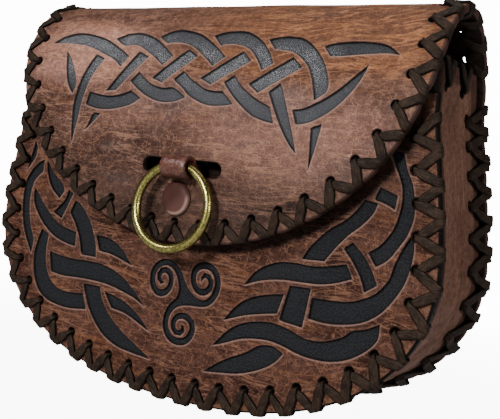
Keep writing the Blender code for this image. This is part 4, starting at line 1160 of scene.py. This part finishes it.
def make_front():
    line = panel_line(PANEL_RISE) + np.array([0.0, WIDEST_Z])
    last = int(reach(line, PANEL_MARGIN, WIDEST_Z + FRONT_LACE_RISE) / PANEL_PITCH)
    seam = Seam(line, PANEL_MARGIN, even_spots(PANEL_PITCH), -last, last)
    holes = [*map(rounded_hole, seam.holes()), rounded_hole((CLOSURE_X, SNAP_Z), SNAP_HOLE_RADIUS)]
    figures = figures_from(FRONT_CHART + [spiral_chart()])
    panel = leather_sheet("front_panel_leather", close_line(line), holes, figures, lay_front,
                          spacing=1.7, back_spacing=4.0)
    routes = edge_routes(PANEL_MARGIN, 0.42, 0.5)
    return panel, wind_lace("front_seam_lace", seam, lay_front, PANEL_PITCH, routes)


def make_wrap():
    free_line = flap_line()
    limit = lengths(free_line + inward(free_line) * FLAP_MARGIN)[-1] / 2 - FLAP_END_CLEARANCE
    first = -int((limit + FLAP_LOWEST_HOLE) / FLAP_PITCH_LEFT)
    last = int((limit - FLAP_LOWEST_HOLE) / FLAP_PITCH_RIGHT)
    flap_seam = Seam(free_line, FLAP_MARGIN, flap_spots, first, last)
    back = panel_line(GUSSET_TOP_RISE)
    back_line = np.stack([back[:, 0], BACK_TOP - back[:, 1]], axis=1)
    count = int(reach(back, PANEL_MARGIN, GUSSET_TOP_RISE - SEAM_TOP_CLEARANCE) / PANEL_PITCH)
    back_seam = Seam(back_line, PANEL_MARGIN, even_spots(PANEL_PITCH), -count, count, -1.0)
    spots = np.vstack([flap_seam.holes(), back_seam.holes()])
    holes = [*map(rounded_hole, spots), slot_loop(), rounded_hole((CLOSURE_X, SNAP_Z), SNAP_HOLE_RADIUS)]
    outline = close_line(np.vstack([free_line, back_line[::-1][1:-1]]))
    edge = scalloped(outline, spots, FLAP_MARGIN + 0.2, FLAP_PITCH)
    figures = figures_from(FLAP_CHART)
    wrap = leather_sheet("flap_and_back_leather", edge, holes, figures, lay_wrap,
                         spacing=1.9, back_spacing=3.6)
    flap_routes = edge_routes(FLAP_MARGIN, 0.38, 0.5, 0.35)
    flap_lace = wind_lace("flap_edge_lace", flap_seam, lay_wrap, FLAP_PITCH, flap_routes)
    back_lace = wind_lace("back_seam_lace", back_seam, lay_wrap, PANEL_PITCH, seam_routes())
    return wrap, flap_lace, back_lace, back_seam


def make_gusset(back_seam):
    steps = np.linspace(-GUSSET_TOP, GUSSET_TOP, 241)
    heights = lay_gusset(np.stack([steps, np.zeros(len(steps))], axis=1), np.zeros(len(steps)))[:, 2]
    front = np.column_stack([steps, np.full(len(steps), GUSSET_FRONT)])
    back = np.column_stack([steps, gusset_back(heights)])[::-1]
    holes = []
    stations = np.arange(back_seam.first, back_seam.last + 1)
    for a, b in back_seam.flat(stations, np.full(len(stations), GUSSET_INSET)):
        gap = np.hypot(GUSSET_LINE[:, 0] - a, GUSSET_LINE[:, 1] - (BACK_TOP + WIDEST_Z - b))
        y = GUSSET_BACK - GUSSET_HOLE_FROM_BACK
        if b < FOLD_END:
            y = lay_wrap(np.array([(a, b)]), np.array([LEATHER + SEAM_GAP + GUSSET_HOLE_FROM_BACK]))[0, 1]
        holes.append(rounded_hole((GUSSET_LENGTH[int(np.argmin(gap))], y)))
    laces = []
    for side, name in ((-1, "gusset_top_lace_left"), (1, "gusset_top_lace_right")):
        line = np.array([(side * GUSSET_TOP, y) for y in np.linspace(-24.0, 24.0, 49)])
        seam = Seam(line, GUSSET_TOP_MARGIN, even_spots(GUSSET_TOP_PITCH, GUSSET_TOP_FIRST), 0, 1, side)
        holes += map(rounded_hole, seam.holes())
        routes = edge_routes(GUSSET_TOP_MARGIN, 0.24, 0.32)
        laces.append(wind_lace(name, seam, lay_gusset, GUSSET_TOP_PITCH, routes))
    outline = close_line(np.vstack([front, back]))
    gusset = leather_sheet("gusset_leather", outline, holes, [], lay_gusset, spacing=2.0, back_spacing=4.0)
    return gusset, laces


def make_ring():
    lean, turned_by = math.radians(-RING_LEAN), math.radians(RING_TURN)
    pose = Matrix.Rotation(lean, 3, "X") @ Matrix.Rotation(turned_by, 3, "Z")
    axis = Vector((LOOP_X, LOOP_Y, LOOP_Z))
    around, sides = 120, 20
    points = []
    for turn in full_turn(around):
        for wire in full_turn(sides):
            radius = RING_RADIUS + RING_WIRE * math.cos(wire)
            hung = (radius * math.sin(turn), RING_WIRE * math.sin(wire), radius * math.cos(turn) - RING_DROP)
            points.append(axis + pose @ Vector(hung))
    numbers = np.arange(around * sides).reshape(around, sides)
    return add_mesh("closure_ring", points, bands(closed(numbers)), 80.0)


STRAP_SECTION = [(-1.0, -0.2), (-0.985, -0.75), (-0.95, -1.0), (0.0, -1.0), (0.95, -1.0), (0.985, -0.75),
                 (1.0, -0.2), (1.0, 0.3), (0.985, 0.75), (0.94, 1.0), (0.6, 1.05), (0.0, 1.05), (-0.6, 1.05),
                 (-0.94, 1.0), (-0.985, 0.75), (-1.0, 0.3)]


def strap(name, x, path, width, thickness):
    """A strap along a path of (y, z) at one x."""
    outward = np.column_stack([np.zeros(len(path)), -inward(path)])
    path = np.column_stack([np.full(len(path), x), path])
    return add_mesh(name, *ribbon(path, outward, width, thickness, STRAP_SECTION)[:2], 50.0)


def make_ring_loop():
    """The strap goes in at the slot, round the ring and back, with its ends flat on the front panel."""
    radius, half = LOOP_RADIUS - LOOP_LEATHER / 2, LOOP_LEATHER / 2 + 0.03
    foot, bend = FRONT_Y - SEAM_GAP - LOOP_LEATHER / 2, LOOP_Y + 3.4
    turns = np.linspace(math.radians(24), math.radians(336), 40)
    rows = [(foot, LOOP_FOOT_TOP), (foot, LOOP_Z + half), (bend, LOOP_Z + half)]
    rows += [(LOOP_Y + radius * math.cos(t), LOOP_Z + radius * math.sin(t)) for t in turns]
    rows += [(bend, LOOP_Z - half), (foot, LOOP_Z - half), (foot, LOOP_FOOT_BOTTOM)]
    return strap("ring_strap", LOOP_X, rounded_path(rows, 0.8, 0.7), LOOP_WIDTH, LOOP_LEATHER)


def turned(name, profile, sides=56):
    """A round piece turned about a line along Y, from rows of radius and depth."""
    first, *middle, last = profile
    points = [(CLOSURE_X, first[1], SNAP_Z)]
    points += [(CLOSURE_X + radius * math.cos(turn), y, SNAP_Z + radius * math.sin(turn))
               for radius, y in middle for turn in full_turn(sides)]
    points.append((CLOSURE_X, last[1], SNAP_Z))
    numbers = 1 + np.arange(len(middle) * sides).reshape(-1, sides)
    faces = bands(numbers)
    for centre, ring in ((0, numbers[0]), (len(points) - 1, numbers[-1][::-1])):
        faces += [(centre, a, b) for a, b in zip(ring, np.roll(ring, -1))]
    return add_mesh(name, points, faces, 45.0)


def make_snap():
    """The cap on the flap and the stud on the front panel, each with a post through its leather."""
    def head(near, far, soft=0.2):
        return [(SNAP_HEAD_RADIUS - soft, near), (SNAP_HEAD_RADIUS, near + soft),
                (SNAP_HEAD_RADIUS, far - soft), (SNAP_HEAD_RADIUS - soft, far)]

    def post_and_head(start, near):
        far = near + SNAP_HEAD_THICKNESS
        return [(SNAP_POST_RADIUS, start), (SNAP_POST_RADIUS, near), *head(near, far), (0.0, far)]

    seat, behind = FLAP_Y - 0.15, FLAP_Y + LEATHER + SEAM_GAP
    dome = [(SNAP_CAP_RADIUS * math.sin(t) ** 0.55, seat - 0.3 - 1.5 * math.cos(t))
            for t in np.linspace(0, math.pi / 2, 22)]
    rim = [(SNAP_CAP_RADIUS - 0.08, seat - 0.1), (SNAP_CAP_RADIUS - 0.3, seat)]
    top, base = behind + SNAP_HEAD_THICKNESS + SEAM_GAP, FRONT_Y - SEAM_GAP
    stud = [(0.0, top), *head(top, base), *post_and_head(base, FRONT_Y + LEATHER + SEAM_GAP)]
    return turned("snap_dome", dome + rim + post_and_head(seat, behind)), turned("snap_base", stud)


def make_belt_loops():
    """Two straps that stand off the back between their stitched pads."""
    middle, top = BACK_Y + SEAM_GAP + LEATHER / 2, BELT_LOOP_BOTTOM + BELT_LOOP_HEIGHT
    bend = [(0.0, 0.15), (0.0, BELT_LOOP_PAD), (BELT_LOOP_LIFT / 2, BELT_LOOP_PAD + BELT_LOOP_RAMP / 2),
            (BELT_LOOP_LIFT, BELT_LOOP_PAD + BELT_LOOP_RAMP)]
    rows = [(middle + lift, BELT_LOOP_BOTTOM + rise) for lift, rise in bend]
    rows += [(middle + lift, top - drop) for lift, drop in bend[::-1]]
    path = rounded_path(rows, 2.2, 1.6)[::-1]
    straps, stitches = [], []
    for x, name in ((-BELT_LOOP_X, "belt_strap_left"), (BELT_LOOP_X, "belt_strap_right")):
        straps.append(strap(name, x, path, BELT_LOOP_WIDTH, LEATHER))
        stitches += pad_stitches(x, BELT_LOOP_BOTTOM + 2.0) + pad_stitches(x, top - 8.2)
    return straps, add_mesh("belt_strap_stitches", *joined(stitches), 60.0)


def pad_stitches(x, low, half_width=10.6, height=6.2, pitch=3.1):
    """A row of stitches round a pad of a belt loop."""
    corners = np.array([(x - half_width, low), (x + half_width, low),
                        (x + half_width, low + height), (x - half_width, low + height)])
    made = []
    for a, b in zip(corners, np.roll(corners, -1, axis=0)):
        count = int(round(np.linalg.norm(b - a) / pitch))
        made += [stitch(a + (b - a) * (j + 0.12) / count, a + (b - a) * (j + 0.88) / count)
                 for j in range(count)]
    return made


def stitch(start, stop):
    """One thread stitch that rises from the leather and goes back in."""
    shares = np.linspace(0.0, 1.0, 7)
    flat = start + (stop - start) * shares[:, None]
    arch = np.sin(shares * math.pi)
    path = np.stack([flat[:, 0], BACK_Y + SEAM_GAP + LEATHER + 0.12 + 0.28 * arch, flat[:, 1]], axis=1)
    outward = np.tile([0.0, 1.0, 0.0], (7, 1))
    round_section = [(math.cos(t), math.sin(t)) for t in full_turn(6)]
    width = 2 * STITCH_RADIUS * (0.55 + 0.45 * arch)
    return ribbon(path, outward, width, 1.6 * STITCH_RADIUS, round_section)[:2]


# Assembly
front_leather = leather_material(
    "front_leather", dark=(0.0190, 0.0066, 0.0046), middle=(0.031, 0.0110, 0.0070),
    pink=(0.052, 0.0215, 0.0165), tan=(0.088, 0.0330, 0.0145), pale=(0.170, 0.0800, 0.0480),
    edge=(0.0030, 0.0014, 0.0011), pink_share=0.5, tan_share=0.60, net_share=0.6, painted_wall_light_share=0.5, gloss=0.08,
    burnish_and_shade=(0.3, 0.35, 0.80), worn_rim=0.45, painted_ink_glints=0.12, covered=True,
    ink_tones=((0.0044, 0.0047, 0.0060), (0.0135, 0.0140, 0.0165)))
wrap_leather = leather_material(
    "flap_leather", dark=(0.028, 0.0098, 0.0066), middle=(0.046, 0.0170, 0.0110),
    pink=(0.118, 0.0570, 0.0440), tan=(0.125, 0.0480, 0.0205), pale=(0.250, 0.1300, 0.0840),
    edge=(0.050, 0.022, 0.017), pink_share=0.40, tan_share=0.35, net_share=0.60, painted_wall_light_share=0.6, gloss=0.15,
    burnish_and_shade=(0.3, 0.35, 0.80), worn_rim=0.3, painted_ink_glints=1.0, flap=True,
    ink_tones=((0.0095, 0.0100, 0.0120), (0.0290, 0.0300, 0.0340)))
gusset_leather = leather_material(
    "gusset_leather", dark=(0.080, 0.0370, 0.0265), middle=(0.118, 0.0570, 0.0400),
    pink=(0.135, 0.0700, 0.0520), tan=(0.170, 0.0790, 0.0420), pale=(0.190, 0.1060, 0.0700),
    edge=(0.003, 0.0014, 0.001), pink_share=0.35, tan_share=0.45, net_share=0.35, painted_wall_light_share=0.0, gloss=0.07,
    burnish_and_shade=(0.6, 0.33, 0.45), worn_rim=0.0, turn=90.0, crease=True)
lace_leather = lace_material()
loop_leather = loop_material()


def dress(made, material, nodes, body="pouch"):
    made.data.materials.clear()
    made.data.materials.append(material)
    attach(made, body)
    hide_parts(*nodes)


panel, front_lace = make_front()
dress(panel, front_leather, ["front_panel"])
dress(front_lace, lace_leather, ["front_lace"])
wrap, flap_lace, back_lace, back_seam = make_wrap()
dress(wrap, wrap_leather, ["back_and_flap"])
dress(flap_lace, lace_leather, ["flap_lace"])
dress(back_lace, lace_leather, ["back_lace"])
gusset, gusset_laces = make_gusset(back_seam)
dress(gusset, gusset_leather, ["gusset"])
dress(gusset_laces[0], lace_leather, ["gusset_lace_left"])
dress(gusset_laces[1], lace_leather, ["gusset_lace_right"])
dress(make_ring(), brass_material(), ["ring"], "ring")
dress(make_ring_loop(), loop_leather, ["ring_loop"])
dome, base = make_snap()
dress(dome, cap_material(), ["snap_cap"])
dress(base, steel_material(), ["snap_stud"])
straps, stitching = make_belt_loops()
dress(straps[0], loop_leather, ["belt_loop_left"])
dress(straps[1], loop_leather, ["belt_loop_right"])
dress(stitching, thread_material(), [])


# Floor, light and camera
def make_stage(half=6.0):
    mesh = bpy.data.meshes.new("floor")
    corners = [(-half, -half, 0), (half, -half, 0), (half, half, 0), (-half, half, 0)]
    mesh.from_pydata(corners, [], [(0, 1, 2, 3)])
    floor = bpy.data.objects.new("floor", mesh)
    floor.data.materials.append(floor_material())
    bpy.context.scene.collection.objects.link(floor)


def area_light(name, place, target, size, power, colour=(1.0, 1.0, 1.0)):
    lamp = bpy.data.lights.new(name, "AREA")
    lamp.shape = "RECTANGLE"
    lamp.size, lamp.size_y = size
    lamp.energy = power
    lamp.color = colour
    made = bpy.data.objects.new(name, lamp)
    made.location = place
    made.rotation_mode = "QUATERNION"
    made.rotation_quaternion = (Vector(target) - Vector(place)).to_track_quat("-Z", "Y")
    bpy.context.scene.collection.objects.link(made)


def make_world(fill_strength=0.065, ground_strength=14.0):
    """A dim studio round the object, with a white ground behind it."""
    world = bpy.data.worlds.new("studio")
    bpy.context.scene.world = world
    n = Nodes(world)
    fill = n.tree.nodes["Background"]
    n.feed(fill.inputs["Color"], (1.0, 1.0, 1.0))
    n.feed(fill.inputs["Strength"], fill_strength)
    white = {"Color": (1.0, 1.0, 1.0), "Strength": ground_strength}
    ground = n.add("ShaderNodeBackground", "Background", white)
    seen = n.add("ShaderNodeLightPath", "Is Camera Ray")
    both = n.add("ShaderNodeMixShader", "Shader", {0: seen, 1: fill.outputs["Background"], 2: ground})
    n.feed(n.tree.nodes["World Output"].inputs["Surface"], both)


# The camera as solved from the photograph: metres, degrees and a lens in millimetres
CAMERA_PLACE = (0.17099, -0.252096, 0.07274)
CAMERA_TURN = (32.433, 1.443, 6.656)
CAMERA_LENS = 64.507


def make_camera():
    yaw, pitch, roll = (math.radians(angle) for angle in CAMERA_TURN)
    forward = Vector((-math.sin(yaw) * math.cos(pitch), math.cos(yaw) * math.cos(pitch), -math.sin(pitch)))
    level = Vector((math.cos(yaw), math.sin(yaw), 0.0))
    rise = level.cross(forward)
    right = level * math.cos(roll) + rise * math.sin(roll)
    up = rise * math.cos(roll) - level * math.sin(roll)
    data = bpy.data.cameras.new("photo_camera")
    data.sensor_width = 36.0
    data.lens = CAMERA_LENS
    data.clip_start, data.clip_end = 0.01, 50.0
    camera = bpy.data.objects.new("photo_camera", data)
    turn = Matrix((right, up, -forward)).transposed()
    camera.matrix_world = Matrix.Translation(Vector(CAMERA_PLACE)) @ turn.to_4x4()
    bpy.context.scene.collection.objects.link(camera)
    bpy.context.scene.camera = camera


make_stage()
make_world()
area_light("key", (-0.02, -1.22, 0.54), (0.0, 0.0, 0.06), (0.20, 0.20), 23.0, (1.0, 0.985, 0.96))
area_light("left", (-0.62, -0.92, 0.93), (0.0, 0.0, 0.06), (0.30, 0.22), 7.0)
area_light("side", (1.00, -0.28, 0.30), (0.0, 0.0, 0.06), (0.30, 0.30), 5.6)
area_light("top", (0.0, 0.2, 0.9), (0.0, 0.0, 0.08), (0.8, 0.5), 3.0)
make_camera()
